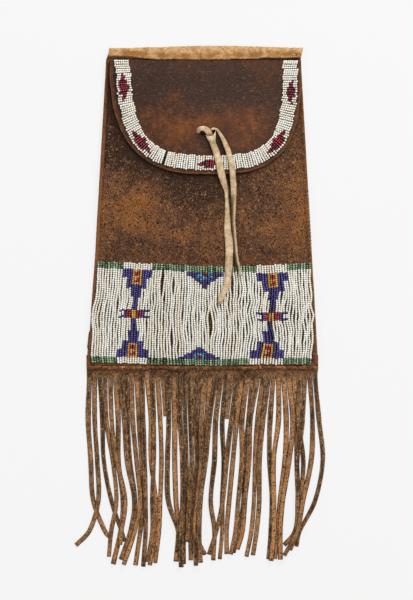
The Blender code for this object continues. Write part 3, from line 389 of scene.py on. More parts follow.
# Each lamp's name, place, size and power
LAMPS = (
    ("key", (0.45, 0.85, 1.15), 0.6, 15.0),
    ("fill", (-0.9, -0.5, 1.4), 1.2, 4.0),
)

# Where the random draws of the pieces start
STITCH_SEED = 5
STRAND_SEED = 7
TONE_SEED = 11
PANEL_SEED = 1
BORDER_SEED = 101

# Wear on the hide, each as a place across and along in millimetres, its two half
# sizes and its strength: more than nought is worn to orange-brown, less is darkened
FLAP_WEAR = (
    (-48, 88, 16, 34, -0.75), (-10, 98, 60, 18, -0.95), (40, 92, 34, 26, -0.50),
    (-23, 88, 6, 7, 0.95), (-44, 72, 14, 10, 0.65), (-26, 60, 20, 14, 0.30),
    (-4, 66, 16, 6, 0.75), (18, 72, 18, 9, 0.35), (40, 70, 6, 12, 0.75),
    (-20, 46, 20, 12, 0.10), (40, 54, 16, 12, 0.20), (50, 96, 14, 10, 0.45),
    (-2, 42, 30, 10, -0.25), (60, 76, 8, 26, -0.30),
)
# Painted shadow that the thong casts on the flap, in the same terms
THONG_SHADOW = (
    (11.5, 56, 2.6, 6, 0.90), (14.5, 48, 2.8, 6, 0.90), (17.5, 39, 2.6, 6, 0.85),
    (-2, 56.0, 5.5, 3.5, 0.65), (2.0, 50, 4.0, 7, 0.45), (6.5, 42, 3.5, 7, 0.35),
)
# The front panel's patches, in the same terms. The two darkest, at the upper left beside the flap's left edge, are
# painted shade.
PANEL_WEAR = (
    (-50, 5, 8, 8, 0.85), (-60, -8, 17, 14, 0.55), (-28, -4, 12, 14, 0.30),
    (-60, 44, 20, 15, -1.40), (-20, 22, 26, 10, -0.60), (-64, -26, 12, 10, -0.10),
    (-75, 76, 7, 36, -1.50), (-86, 2, 6, 40, 0.85), (-72, 10, 12, 12, 0.30),
    (-40, -30, 16, 8, -0.35), (-36, -20, 20, 6, 0.45), (-10, 8, 22, 12, -0.45),
    (4, 20, 26, 18, -0.65), (36, 18, 12, 18, -0.15), (60, 20, 6, 5, 0.30),
    (80, -8, 9, 34, 0.62), (58, -20, 16, 9, 0.42), (30, -2, 5, 7, 0.35),
    (44, 4, 14, 14, -0.40), (30, -26, 14, 9, -0.45), (56, -34, 12, 10, -0.40),
    (72, 34, 8, 22, 0.10), (0, -22, 18, 9, 0.20),
)


def linear(hex_colour):
    """A linear colour from an sRGB hex value."""
    channels = [int(hex_colour[k:k + 2], 16) / 255 for k in (1, 3, 5)]
    return [c / 12.92 if c <= 0.04045 else ((c + 0.055) / 1.055) ** 2.4 for c in channels]


class BagSizes(bpy.types.PropertyGroup):
    """Sizes of the parts that only show in the finish."""

    bead_diameter: bpy.props.FloatProperty(
        name="Bead diameter", description="Diameter of a seed bead in the panel",
        default=0.00194, min=0.001, max=0.004, unit="LENGTH", precision=5,
    )
    bead_length: bpy.props.FloatProperty(
        name="Bead length", description="Length of a seed bead along its string",
        default=0.00166, min=0.001, max=0.004, unit="LENGTH", precision=5,
    )
    border_bead_diameter: bpy.props.FloatProperty(
        name="Border bead diameter", description="Diameter of a seed bead along the flap",
        default=0.00180, min=0.001, max=0.004, unit="LENGTH", precision=5,
    )
    wander: bpy.props.FloatProperty(
        name="String wander", description="How far loose strings stray sideways",
        default=0.00055, min=0.0, max=0.002, unit="LENGTH", precision=5,
    )
    hide_swell: bpy.props.FloatProperty(
        name="Hide swell", description="Height of the soft hollows and swells of the hide",
        default=0.00045, min=0.0, max=0.002, unit="LENGTH", precision=5,
    )


class BagColours(bpy.types.PropertyGroup):
    """Colours of the hides and of the glass."""

    hide_dark: bpy.props.FloatVectorProperty(
        name="Hide, dark", description="Smoke-darkened and handled hide",
        default=linear("#40291B"), subtype="COLOR", min=0, max=1,
    )
    hide_middle: bpy.props.FloatVectorProperty(
        name="Hide, middle", description="The hide's usual colour",
        default=linear("#6F4830"), subtype="COLOR", min=0, max=1,
    )
    hide_worn: bpy.props.FloatVectorProperty(
        name="Hide, worn", description="Hide that is worn to orange-brown",
        default=linear("#965E2E"), subtype="COLOR", min=0, max=1,
    )
    # Its flecks are partly scuffs, partly painted glints of the glossy grain
    hide_fleck: bpy.props.FloatVectorProperty(
        name="Hide, flecks", description="Small scuffs on the grain",
        default=linear("#A47E5C"), subtype="COLOR", min=0, max=1,
    )
    flap_dark: bpy.props.FloatVectorProperty(
        name="Flap, dark", description="The flap near its fold, darkened by hands",
        default=linear("#402C23"), subtype="COLOR", min=0, max=1,
    )
    flap_middle: bpy.props.FloatVectorProperty(
        name="Flap, middle", description="The flap's usual colour",
        default=linear("#583521"), subtype="COLOR", min=0, max=1,
    )
    flap_worn: bpy.props.FloatVectorProperty(
        name="Flap, worn", description="The flap's middle, rubbed to a redder brown",
        default=linear("#7E4925"), subtype="COLOR", min=0, max=1,
    )
    fringe_dark: bpy.props.FloatVectorProperty(
        name="Fringe, dark", description="Dark strands of the fringe",
        default=linear("#3A2116"), subtype="COLOR", min=0, max=1,
    )
    fringe_middle: bpy.props.FloatVectorProperty(
        name="Fringe, middle", description="The fringe's usual colour",
        default=linear("#A1704B"), subtype="COLOR", min=0, max=1,
    )
    fringe_light: bpy.props.FloatVectorProperty(
        name="Fringe, light", description="Strands with their flesh side out",
        default=linear("#D0905A"), subtype="COLOR", min=0, max=1,
    )
    raw_edge: bpy.props.FloatVectorProperty(
        name="Raw edge", description="Cut edge of the hide",
        default=linear("#8E5A34"), subtype="COLOR", min=0, max=1,
    )
    binding: bpy.props.FloatVectorProperty(
        name="Binding", description="Light hide of the top binding",
        default=linear("#E2B681"), subtype="COLOR", min=0, max=1,
    )
    binding_stain: bpy.props.FloatVectorProperty(
        name="Binding, stained", description="Stains on the top binding",
        default=linear("#A9743F"), subtype="COLOR", min=0, max=1,
    )
    buckskin: bpy.props.FloatVectorProperty(
        name="Thong", description="Pale buckskin of the thong",
        default=linear("#F8DDB8"), subtype="COLOR", min=0, max=1,
    )


def add_node(tree, kind, settings=None, links=None):
    """Add a node, set its properties or its sockets' values, and link its sockets."""
    node = tree.nodes.new(kind)
    for key, value in (settings or {}).items():
        if isinstance(key, str) and hasattr(node, key):
            setattr(node, key, value)
        else:
            node.inputs[key].default_value = value
    for key, socket in (links or {}).items():
        tree.links.new(socket, node.inputs[key])
    return node


# The colour sockets of a mix node, by number
MIX_A, MIX_B, MIX_RESULT = 6, 7, 2
# Sizes of the patterns in tanned and in cut hide, in millimetres
HIDE_BLOTCHES = 22
HIDE_MOTTLES = 5.0
EDGE_FIBRES = 1.6


def new_material(name):
    """An empty material with its output, and the shader that feeds it."""
    material = bpy.data.materials.new(name)
    material.use_nodes = True
    tree = material.node_tree
    tree.nodes.clear()
    shader = add_node(tree, "ShaderNodeBsdfPrincipled")
    add_node(tree, "ShaderNodeOutputMaterial", {}, {"Surface": shader.outputs["BSDF"]})
    return material, tree, shader


def hide_material(name, tones, pitting, mottling, grain_size, stretch):
    """Brain-tanned hide, smoked and handled: a pitted grain that wears to a lighter brown.

    The rest position of each point, in millimetres, is stored on the mesh as "flat".
    "wear" tells where the hide is worn, "rim" where its cut edge is, and "soil" how far
    it is darkened, mostly by painted shade, as under beads and beside edges that stand
    over it. The real pores are finer than a pixel of the picture, so the grain is drawn as
    coarse as grain_size says, in millimetres.
    """
    dark, middle, light, fleck, edge = tones
    material, tree, shader = new_material(name)
    flat, wear, rim, soil = [
        add_node(tree, "ShaderNodeAttribute", {"attribute_name": kept}).outputs[output]
        for kept, output in (("flat", "Vector"), ("wear", "Fac"), ("rim", "Fac"), ("soil", "Fac"))
    ]
    drawn = add_node(tree, "ShaderNodeVectorMath", {
        "operation": "MULTIPLY", 1: stretch,
    }, {0: flat}).outputs["Vector"]
    blotches = add_node(tree, "ShaderNodeTexNoise", {
        "Scale": 1 / HIDE_BLOTCHES, "Detail": 4.0, "Roughness": 0.62, "Distortion": 0.6,
    }, {"Vector": flat}).outputs["Fac"]
    mottle = add_node(tree, "ShaderNodeTexNoise", {
        "Scale": 1 / HIDE_MOTTLES, "Detail": 4.0, "Roughness": 0.66,
    }, {"Vector": flat}).outputs["Fac"]
    grain = add_node(tree, "ShaderNodeTexNoise", {
        "Scale": 1 / grain_size, "Detail": 1.5, "Roughness": 0.6, "Distortion": 0.3,
    }, {"Vector": drawn}).outputs["Fac"]
    scuffs_and_glints = add_node(tree, "ShaderNodeTexNoise", {
        "noise_dimensions": "4D", "W": 6.3, "Scale": 1 / (grain_size * 0.9), "Detail": 1.5,
        "Roughness": 0.6,
    }, {"Vector": drawn}).outputs["Fac"]

    spread = add_node(tree, "ShaderNodeMath", {
        "operation": "MULTIPLY_ADD", 1: 1.8, 2: -0.9,
    }, {0: blotches}).outputs[0]
    mottled = add_node(tree, "ShaderNodeMath", {
        "operation": "MULTIPLY_ADD", 1: mottling, 2: -0.5 * mottling,
    }, {0: mottle}).outputs[0]
    worn_more = add_node(tree, "ShaderNodeMath", {"operation": "ADD"}, {
        0: spread, 1: wear,
    }).outputs[0]
    worn = add_node(tree, "ShaderNodeMath", {"operation": "ADD"}, {
        0: worn_more, 1: mottled,
    }).outputs[0]
    dark_share = add_node(tree, "ShaderNodeMapRange", {
        "From Min": -0.75, "From Max": 0.1, "To Min": 1.0, "To Max": 0.0,
    }, {"Value": worn}).outputs["Result"]
    light_share = add_node(tree, "ShaderNodeMapRange", {
        "From Min": 0.05, "From Max": 0.85,
    }, {"Value": worn}).outputs["Result"]
    darkened = add_node(tree, "ShaderNodeMix", {
        "data_type": "RGBA", MIX_A: (*middle, 1.0), MIX_B: (*dark, 1.0),
    }, {0: dark_share}).outputs[MIX_RESULT]
    worn_colour = add_node(tree, "ShaderNodeMix", {
        "data_type": "RGBA", MIX_B: (*light, 1.0),
    }, {0: light_share, MIX_A: darkened}).outputs[MIX_RESULT]

    pit_share = add_node(tree, "ShaderNodeMapRange", {
        "From Min": 0.36, "From Max": 0.48, "To Min": pitting, "To Max": 0.0,
    }, {"Value": grain}).outputs["Result"]
    shadow = [channel * 0.30 for channel in dark]
    pitted = add_node(tree, "ShaderNodeMix", {
        "data_type": "RGBA", MIX_B: (*shadow, 1.0),
    }, {0: pit_share, MIX_A: worn_colour}).outputs[MIX_RESULT]
    # Light flecks: partly scuffs on the grain, partly painted glints of its gloss
    fleck_share = add_node(tree, "ShaderNodeMapRange", {
        "From Min": 0.56, "From Max": 0.68, "To Min": 0.0, "To Max": pitting,
    }, {"Value": scuffs_and_glints}).outputs["Result"]
    fleck_zone = add_node(tree, "ShaderNodeMapRange", {
        "From Min": 0.38, "From Max": 0.62, "To Min": 0.45, "To Max": 1.0,
    }, {"Value": mottle}).outputs["Result"]
    fleck_factor = add_node(tree, "ShaderNodeMath", {"operation": "MULTIPLY"}, {
        0: fleck_share, 1: fleck_zone,
    }).outputs[0]
    flecked = add_node(tree, "ShaderNodeMix", {
        "data_type": "RGBA", MIX_B: (*fleck, 1.0),
    }, {0: fleck_factor, MIX_A: pitted}).outputs[MIX_RESULT]

    ragged = add_node(tree, "ShaderNodeMapRange", {
        "From Min": 0.35, "From Max": 0.60, "To Min": 0.35, "To Max": 1.0,
    }, {"Value": mottle}).outputs["Result"]
    edge_share = add_node(tree, "ShaderNodeMath", {
        "operation": "MULTIPLY", "use_clamp": True,
    }, {0: rim, 1: ragged}).outputs[0]
    edged = add_node(tree, "ShaderNodeMix", {
        "data_type": "RGBA", MIX_B: (*edge, 1.0),
    }, {0: edge_share, MIX_A: flecked}).outputs[MIX_RESULT]
    # Where "soil" says, painted shade and painted shadow darken the hide to its shadow colour
    shaded_and_dirty = add_node(tree, "ShaderNodeMix", {
        "data_type": "RGBA", MIX_B: (*shadow, 1.0),
    }, {0: soil, MIX_A: edged}).outputs[MIX_RESULT]
    tree.links.new(shaded_and_dirty, shader.inputs["Base Color"])

    relief = add_node(tree, "ShaderNodeMath", {"operation": "ADD"}, {
        0: grain, 1: scuffs_and_glints,
    }).outputs[0]
    bump = add_node(tree, "ShaderNodeBump", {
        "Strength": pitting, "Distance": 0.0010,
    }, {"Height": relief}).outputs["Normal"]
    tree.links.new(bump, shader.inputs["Normal"])
    shine = add_node(tree, "ShaderNodeMapRange", {
        "From Min": 0.3, "From Max": 0.7, "To Min": 0.42, "To Max": 0.68,
    }, {"Value": mottle}).outputs["Result"]
    tree.links.new(shine, shader.inputs["Roughness"])
    shader.inputs["Specular IOR Level"].default_value = 0.12
    return material


def edge_material(name, colour, light, patch_size):
    """The cut edge of tanned hide: fibrous and matt, with lighter patches where it rubs.

    The real fibres are finer than a pixel, so they are drawn as coarse as EDGE_FIBRES says.
    """
    material, tree, shader = new_material(name)
    flat = add_node(tree, "ShaderNodeAttribute", {"attribute_name": "flat"}).outputs["Vector"]
    fibres = add_node(tree, "ShaderNodeTexNoise", {
        "Scale": 1 / EDGE_FIBRES, "Detail": 2.0, "Roughness": 0.7,
    }, {"Vector": flat}).outputs["Fac"]
    rubbing = add_node(tree, "ShaderNodeTexNoise", {
        "Scale": 1 / patch_size, "Detail": 3.0, "Roughness": 0.6,
    }, {"Vector": flat}).outputs["Fac"]
    rubbed_share = add_node(tree, "ShaderNodeMapRange", {
        "From Min": 0.45, "From Max": 0.62,
    }, {"Value": rubbing}).outputs["Result"]
    rubbed = add_node(tree, "ShaderNodeMix", {
        "data_type": "RGBA", MIX_A: (*colour, 1.0), MIX_B: (*light, 1.0),
    }, {0: rubbed_share}).outputs[MIX_RESULT]
    share = add_node(tree, "ShaderNodeMapRange", {
        "From Min": 0.38, "From Max": 0.56,
    }, {"Value": fibres}).outputs["Result"]
    shadow = [c * 0.22 for c in colour]
    tone = add_node(tree, "ShaderNodeMix", {
        "data_type": "RGBA", MIX_A: (*shadow, 1.0),
    }, {0: share, MIX_B: rubbed}).outputs[MIX_RESULT]
    tree.links.new(tone, shader.inputs["Base Color"])
    bump = add_node(tree, "ShaderNodeBump", {
        "Strength": 0.6, "Distance": 0.0006,
    }, {"Height": fibres}).outputs["Normal"]
    tree.links.new(bump, shader.inputs["Normal"])
    shader.inputs["Roughness"].default_value = 0.85
    shader.inputs["Specular IOR Level"].default_value = 0.15
    return material


def suede_material(name, colour, stain, stain_reach, nap, depth):
    """Soft suede: a brushed nap stained in blotches, darkened by dirt and by painted shade, as along its folds.

    The real nap is finer than a pixel, so it is drawn as coarse as the nap argument says.
    """
    material, tree, shader = new_material(name)
    flat, wear, soil = [
        add_node(tree, "ShaderNodeAttribute", {"attribute_name": kept}).outputs[output]
        for kept, output in (("flat", "Vector"), ("wear", "Fac"), ("soil", "Fac"))
    ]
    blotches = add_node(tree, "ShaderNodeTexNoise", {
        "Scale": 1 / stain_reach, "Detail": 6.0, "Roughness": 0.72, "Distortion": 0.4,
    }, {"Vector": flat}).outputs["Fac"]
    fibres = add_node(tree, "ShaderNodeTexNoise", {
        "Scale": 1 / nap, "Detail": 3.0, "Roughness": 0.7,
    }, {"Vector": flat}).outputs["Fac"]
    shaded_and_dirty = add_node(tree, "ShaderNodeMath", {"operation": "ADD"}, {
        0: blotches, 1: wear,
    }).outputs[0]
    stain_share = add_node(tree, "ShaderNodeMapRange", {
        "From Min": 0.40, "From Max": 0.68,
    }, {"Value": shaded_and_dirty}).outputs["Result"]
    stained = add_node(tree, "ShaderNodeMix", {
        "data_type": "RGBA", MIX_A: (*colour, 1.0), MIX_B: (*stain, 1.0),
    }, {0: stain_share}).outputs[MIX_RESULT]
    fibre_share = add_node(tree, "ShaderNodeMapRange", {
        "From Min": 0.3, "From Max": 0.6, "To Min": depth, "To Max": 0.0,
    }, {"Value": fibres}).outputs["Result"]
    shadow = [channel * 0.40 for channel in stain]
    napped = add_node(tree, "ShaderNodeMix", {
        "data_type": "RGBA", MIX_B: (*shadow, 1.0),
    }, {0: fibre_share, MIX_A: stained}).outputs[MIX_RESULT]
    # Where "soil" says, dirt and painted shade darken the nap
    grime_and_shade = [channel * 0.22 for channel in stain]
    dirty_and_shaded = add_node(tree, "ShaderNodeMix", {
        "data_type": "RGBA", MIX_B: (*grime_and_shade, 1.0),
    }, {0: soil, MIX_A: napped}).outputs[MIX_RESULT]
    tree.links.new(dirty_and_shaded, shader.inputs["Base Color"])
    bump = add_node(tree, "ShaderNodeBump", {
        "Strength": 0.6, "Distance": 0.0005,
    }, {"Height": fibres}).outputs["Normal"]
    tree.links.new(bump, shader.inputs["Normal"])
    shader.inputs["Roughness"].default_value = 0.92
    shader.inputs["Specular IOR Level"].default_value = 0.15
    return material


def glass_material(name, colour, deep, roughness):
    """Wound glass seed beads: each bead has its own depth of colour under a glossy skin,
    and painted shade darkens its flanks against its crown."""
    material, tree, shader = new_material(name)
    bead = add_node(tree, "ShaderNodeAttribute", {"attribute_name": "bead"}).outputs["Fac"]
    tone = add_node(tree, "ShaderNodeMix", {
        "data_type": "RGBA", MIX_A: (*colour, 1.0), MIX_B: (*deep, 1.0),
    }, {0: bead}).outputs[MIX_RESULT]
    # Painted shade: the flanks, turned away from the eye, darken towards the shadow colour
    facing = add_node(tree, "ShaderNodeLayerWeight", {"Blend": 0.35}).outputs["Facing"]
    flank_shade = add_node(tree, "ShaderNodeMapRange", {
        "From Min": 0.28, "From Max": 0.78,
    }, {"Value": facing}).outputs["Result"]
    shadow = [channel * 0.38 for channel in deep]
    flank_shaded = add_node(tree, "ShaderNodeMix", {
        "data_type": "RGBA", MIX_B: (*shadow, 1.0),
    }, {0: flank_shade, MIX_A: tone}).outputs[MIX_RESULT]
    tree.links.new(flank_shaded, shader.inputs["Base Color"])
    shader.inputs["Roughness"].default_value = roughness
    shader.inputs["IOR"].default_value = 1.51
    shader.inputs["Specular IOR Level"].default_value = 0.8
    return material


# Each glass as its clear colour, its deep colour and its roughness
GLASS = {
    "white": ("#FFFEF6", "#F4E9D4", 0.24),
    "green": ("#A0BE92", "#08331A", 0.10),
    "blue": ("#524A98", "#241D58", 0.18),
    "purple": ("#64387E", "#24123A", 0.18),
    "yellow": ("#F0C060", "#B98626", 0.25),
    "peach": ("#EDBB86", "#C4814C", 0.25),
    "turquoise": ("#66B8DE", "#0E4A66", 0.22),
    "red": ("#9C1A30", "#480A18", 0.16),
    "orange_red": ("#C03226", "#741818", 0.18),
}


# Colours that only one hide has
FLAP_FLECK = "#84644E"
FRINGE_FLECK = "#D8B684"
FRINGE_CUT = "#C9A074"
RAW_EDGE_RUBBED = "#AC7040"
BUCKSKIN_STAIN = "#B08C58"
# Matt and fibrous finishes, each as its colour, its colour where it is rubbed, and the size
# of the rubbed patches in millimetres. From here waxed thread looks as a cut edge does.
FIBROUS = {
    "seam_hide_edge": ("#8E5C3C", "#C8905C", 6.0),
    "fringe_edge": ("#7A5639", "#C79A68", 7.0),
    "waxed_thread": ("#8F7A4C", "#CDB384", 3.0),
}


def material_of(name):
    """A material by name, made when it is first asked for."""
    if name in bpy.data.materials:
        return bpy.data.materials[name]
    colours = bpy.context.scene.bag_colours
    if name == "smoked_hide":
        # Deep brown from the smoke, pitted, and worn to orange-brown in patches
        tones = (colours.hide_dark, colours.hide_middle, colours.hide_worn,
                 colours.hide_fleck, colours.raw_edge)
        return hide_material(name, tones, pitting=1.0, mottling=2.2, grain_size=1.25,
                             stretch=(1.1, 0.85, 1.0))
    if name == "flap_hide":
        # Darker and smoother from hands, with fainter pits that are drawn out across
        tones = (colours.flap_dark, colours.flap_middle, colours.flap_worn,
                 linear(FLAP_FLECK), colours.raw_edge)
        return hide_material(name, tones, pitting=0.46, mottling=2.6, grain_size=1.3,
                             stretch=(0.55, 1.0, 1.0))
    if name == "fringe_hide":
        # Strands that differ in tone, the lightest with their flesh side out
        tones = (colours.fringe_dark, colours.fringe_middle, colours.fringe_light,
                 linear(FRINGE_FLECK), linear(FRINGE_CUT))
        return hide_material(name, tones, pitting=1.0, mottling=2.2, grain_size=1.2,
                             stretch=(1.0, 0.8, 1.0))
    if name == "raw_hide_edge":
        return edge_material(name, colours.raw_edge, linear(RAW_EDGE_RUBBED), patch_size=7.0)
    if name in FIBROUS:
        colour, rubbed, patch_size = FIBROUS[name]
        return edge_material(name, linear(colour), linear(rubbed), patch_size)
    if name == "binding_hide":
        # Light hide with its nap up: soft, pale and stained
        return suede_material(name, colours.binding, colours.binding_stain,
                              stain_reach=6.0, nap=1.6, depth=0.60)
    if name == "worn_buckskin":
        # Worn soft: pale cream, with a finer and fainter nap
        return suede_material(name, colours.buckskin, linear(BUCKSKIN_STAIN),
                              stain_reach=6.0, nap=1.4, depth=0.42)
    colour, deep, roughness = GLASS[name.removeprefix("bead_")]
    return glass_material(name, linear(colour), linear(deep), roughness)


def lerp(start, end, share):
    return start + (end - start) * share


def ease(share):
    """Nought to one with a level start and end."""
    share = min(max(share, 0.0), 1.0)
    return share * share * (3 - 2 * share)


def wave(x, y, z):
    """Smooth noise at a place, from about -1 to 1."""
    return noise.noise(Vector((x, y, z)))


def half_width(y):
    share = (y - BODY_BOTTOM_Y) / BODY_LENGTH
    return lerp(BODY_BOTTOM_WIDTH, BODY_TOP_WIDTH, share) / 2


# How far the body's left edge is cut in, by height, both in metres
LEFT_EDGE_SHIFT = (
    (-0.130, -0.0011), (-0.112, -0.0008), (-0.098, 0.0), (-0.070, 0.0003), (-0.040, 0.0008),
    (0.130, 0.0008),
)


def between(table, at):
    """A value between the entries of a table of places and values."""
    for (start, low), (end, high) in zip(table, table[1:]):
        if at <= end:
            return lerp(low, high, (at - start) / (end - start))
    return table[-1][1]


def body_edge(side, y):
    """Distance from the middle to the body's edge, which isn't cut straight on the left."""
    return half_width(y) - (between(LEFT_EDGE_SHIFT, y) if side < 0 else 0.0)


def fullness(x, y):
    """How far the pocket is rounded up at a place."""
    across = min(abs(x) / (half_width(y) - WELT_WIDTH), 1.0)
    rise = ease((y - BODY_BOTTOM_Y) / FULLNESS_RISE)
    fall = ease((BODY_TOP_Y - FULLNESS_TOP_GAP - y) / FULLNESS_FALL)
    return FULLNESS * (1 - across**2) ** 2 * rise * fall


# The hide's swells: how far in from the sides and the bottom they are full, and their
# sizes across and along the bag
SWELL_FADE = (0.020, 0.025)
BROAD_SWELL = (0.034, 0.026)
SMALL_SWELL = (0.011, 0.009)


def swell(x, y):
    """Soft hollows and swells of the hide, which fade out towards the seams."""
    inside = half_width(y) - abs(x)
    fade = ease(inside / SWELL_FADE[0]) * ease((y - BODY_BOTTOM_Y) / SWELL_FADE[1])
    broad = wave(x / BROAD_SWELL[0], y / BROAD_SWELL[1], 3.7)
    small = wave(x / SMALL_SWELL[0], y / SMALL_SWELL[1], 8.1)
    height = bpy.context.scene.bag_sizes.hide_swell
    return fade * height * (1.0 + broad + 0.35 * small)


def front_top(x, y):
    """Height of the front panel's top side."""
    return SEAM_UNDER + LEATHER + fullness(x, y) + swell(x, y)


# Where the back panel starts to rise over the binding's leaf, and how long it takes
BACK_RISE_BELOW = 0.0056
BACK_RISE_LENGTH = 0.0048


def back_under(y):
    """Height of the back panel's underside."""
    return BACK_LIFT * ease((y - BINDING_LOW_Y + BACK_RISE_BELOW) / BACK_RISE_LENGTH)


def flap_under(x, y):
    """Height of the flap's underside: along the front panel, and level at its root."""
    settled = ease((y - HORN_Y) / (ROOT_Y - HORN_Y))
    return lerp(front_top(x, y) + CLEAR, ROOT_UNDER, settled)


def flap_top(x, y):
    return flap_under(x, y) + LEATHER


def below_root(place):
    """A point from its distance across and its distance down from the flap's root."""
    return Vector((place[0], ROOT_Y - place[1]))


def patches(wear, x, y):
    """Sum of the worn patches at a place."""
    total = 0.0
    for across, along, reach_x, reach_y, strength in wear:
        far = ((x / MM - across) / reach_x) ** 2 + ((y / MM - along) / reach_y) ** 2
        total += strength * math.exp(-far)
    return total


def new_piece(name, verts, faces, materials, material_index=None):
    """A smooth mesh object with its materials."""
    mesh = bpy.data.meshes.new(name)
    mesh.from_pydata(verts, [], faces)
    if material_index is not None:
        mesh.polygons.foreach_set("material_index", material_index)
    mesh.polygons.foreach_set("use_smooth", [True] * len(mesh.polygons))
    for material in materials:
        mesh.materials.append(material_of(material))
    mesh.update()
    made = bpy.data.objects.new(name, mesh)
    bpy.context.scene.collection.objects.link(made)
    return made


def store(piece, name, values):
    """Keep one number for each vertex on the mesh."""
    piece.data.attributes.new(name, "FLOAT", "POINT").data.foreach_set("value", values)


def store_flat(piece, places=None):
    """Keep each vertex's rest position in millimetres, or other flat places."""
    if places is None:
        places = [vert.co / MM for vert in piece.data.vertices]
    numbers = [number for place in places for number in place]
    piece.data.attributes.new("flat", "FLOAT_VECTOR", "POINT").data.foreach_set("vector", numbers)


def around(height, width):
    """Rows and columns of a grid's outermost points, in order all round it."""
    rim = [(0, column) for column in range(width)]
    rim += [(row, width - 1) for row in range(1, height)]
    rim += [(height - 1, column) for column in range(width - 2, -1, -1)]
    rim += [(row, 0) for row in range(height - 2, 0, -1)]
    return rim


EDGE_ROUND = 0.0006
RIM_SOFT = 0.0007


def plain_rim(x, y):
    return 0.0008, 0.7


def no_darkening(x, y, far):
    return 0.0


def hide_sheet(name, rows, under, thickness, wear, materials, rim_at=plain_rim, shaded_and_dirty=no_darkening):
    """A sheet of hide with rounded cut edges through rows of points.

    rim_at(x, y) tells the width and strength of the rim's colour at a place, and
    soiled(x, y, far) how far painted shade darkens the hide there, at a distance from its edge.
    """
    height, width = len(rows), len(rows[0])
    rim = around(height, width)
    edge = [Vector(rows[row][column]) for row, column in rim]
    centre = sum(edge, Vector((0.0, 0.0))) / len(edge)
    inner = {}
    for k, place in enumerate(rim):
        run = (edge[(k + 1) % len(edge)] - edge[k - 1]).normalized()
        out = Vector((run.y, -run.x))
        if out.dot(edge[k] - centre) < 0:
            out = -out
        inner[place] = edge[k] - out * EDGE_ROUND
    verts = []
    for lift in (0.0, thickness):
        for row in range(height):
            for column in range(width):
                x, y = inner.get((row, column), rows[row][column])
                verts.append((x, y, under(x, y) + lift))
    for share in (0.25, 0.75):
        for place in edge:
            verts.append((place.x, place.y, under(place.x, place.y) + thickness * share))

    def vert(level, row, column):
        return (level * height + row) * width + column

    faces = []
    for level in (0, 1):
        for row in range(height - 1):
            for column in range(width - 1):
                corners = (
                    vert(level, row, column), vert(level, row, column + 1),
                    vert(level, row + 1, column + 1), vert(level, row + 1, column),
                )
                faces.append(corners if level else corners[::-1])
    hide_faces = len(faces)
    low_ring = 2 * height * width
    high_ring = low_ring + len(rim)
    for k, start in enumerate(rim):
        n = (k + 1) % len(rim)
        end = rim[n]
        faces += [
            (vert(0, *start), vert(0, *end), low_ring + n, low_ring + k),
            (low_ring + k, low_ring + n, high_ring + n, high_ring + k),
            (high_ring + k, high_ring + n, vert(1, *end), vert(1, *start)),
        ]
    index = [0] * hide_faces + [1] * (len(faces) - hide_faces)
    piece = new_piece(name, verts, faces, materials, index)
    face_outwards(piece)
    store_flat(piece)
    near_edge = tree_of(edge)
    rim_values, wear_values, shade_and_dirt_values = [], [], []
    for point in piece.data.vertices:
        x, y = point.co.x, point.co.y
        far = near_edge.find((x, y, 0.0))[2]
        rim_width, strength = rim_at(x, y)
        rim_values.append(strength * (1.0 - ease((far - rim_width) / RIM_SOFT)))
        wear_values.append(patches(wear, x, y))
        shade_and_dirt_values.append(shaded_and_dirty(x, y, far))
    store(piece, "rim", rim_values)
    store(piece, "wear", wear_values)
    store(piece, "soil", shade_and_dirt_values)
    return piece


def face_outwards(piece):
    """Turn every face of a closed mesh outwards."""
    shape = bmesh.new()
    shape.from_mesh(piece.data)
    bmesh.ops.recalc_face_normals(shape, faces=shape.faces)
    shape.to_mesh(piece.data)
    shape.free()


def tree_of(places):
    """A search tree of places in plan."""
    tree = kdtree.KDTree(len(places))
    for k, (x, y) in enumerate(places):
        tree.insert((x, y, 0.0), k)
    tree.balance()
    return tree


CORNER_CUT = 0.0034


def body_rows(inset, low_y, top_at, across, along):
    """Rows of points over the body's outline, with a hand-cut waver along the sides."""
    rows = []
    for j in range(along + 1):
        row = []
        for i in range(across + 1):
            side = 2 * i / across - 1
            y = lerp(low_y, top_at(side), j / along)
            waver = 0.00025 * wave(side * 9, y / 0.018, inset * 9000)
            corner = CORNER_CUT * max(y - BINDING_LOW_Y, 0.0) / BINDING_DEPTH
            drawn_in = (half_width(y) - body_edge(side, y)) * abs(side) ** 8
            row.append((side * (half_width(y) - inset + waver - corner - drawn_in), y))
        rows.append(row)
    return rows


class BAG_OT_back_panel(bpy.types.Operator):
    """Lay the back panel's hide"""
    bl_idname = "bag.back_panel"
    bl_label = "Back Panel"

    def execute(self, context):
        rows = body_rows(0.0003, BODY_BOTTOM_Y, lambda side: BODY_TOP_Y, 60, 150)
        piece = hide_sheet("back_hide", rows, lambda x, y: back_under(y), LEATHER, PANEL_WEAR,
                           ("smoked_hide", "raw_hide_edge"))
        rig.replaces(piece, "back_panel")
        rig.slot(piece, "smoked_leather")
        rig.ride(piece, "bag")
        return {"FINISHED"}


CREASE_INSET = 0.0029
CREASE_DEPTH = 0.0007
CREASE_WIDTH = 0.0008
SEAM_INSET = 0.0030


def side_crease(x, y):
    """Depth of the crease that the side seam pulls into the front panel."""
    inside = body_edge(x, y) - FRONT_INSET - abs(x)
    return CREASE_DEPTH * math.exp(-((inside - CREASE_INSET) / CREASE_WIDTH) ** 2)


HORN_TOP_Y = BINDING_LOW_Y - 0.0004
HORN_FROM = 0.965
HORN_TO = 0.990


def mouth_y(side):
    """Height of the scooped mouth's edge, whose horns run up to the binding."""
    horn = ease((abs(side) - HORN_FROM) / (HORN_TO - HORN_FROM))
    return HORN_Y - MOUTH_SCOOP * (1 - side**2) + horn * (HORN_TOP_Y - HORN_Y)


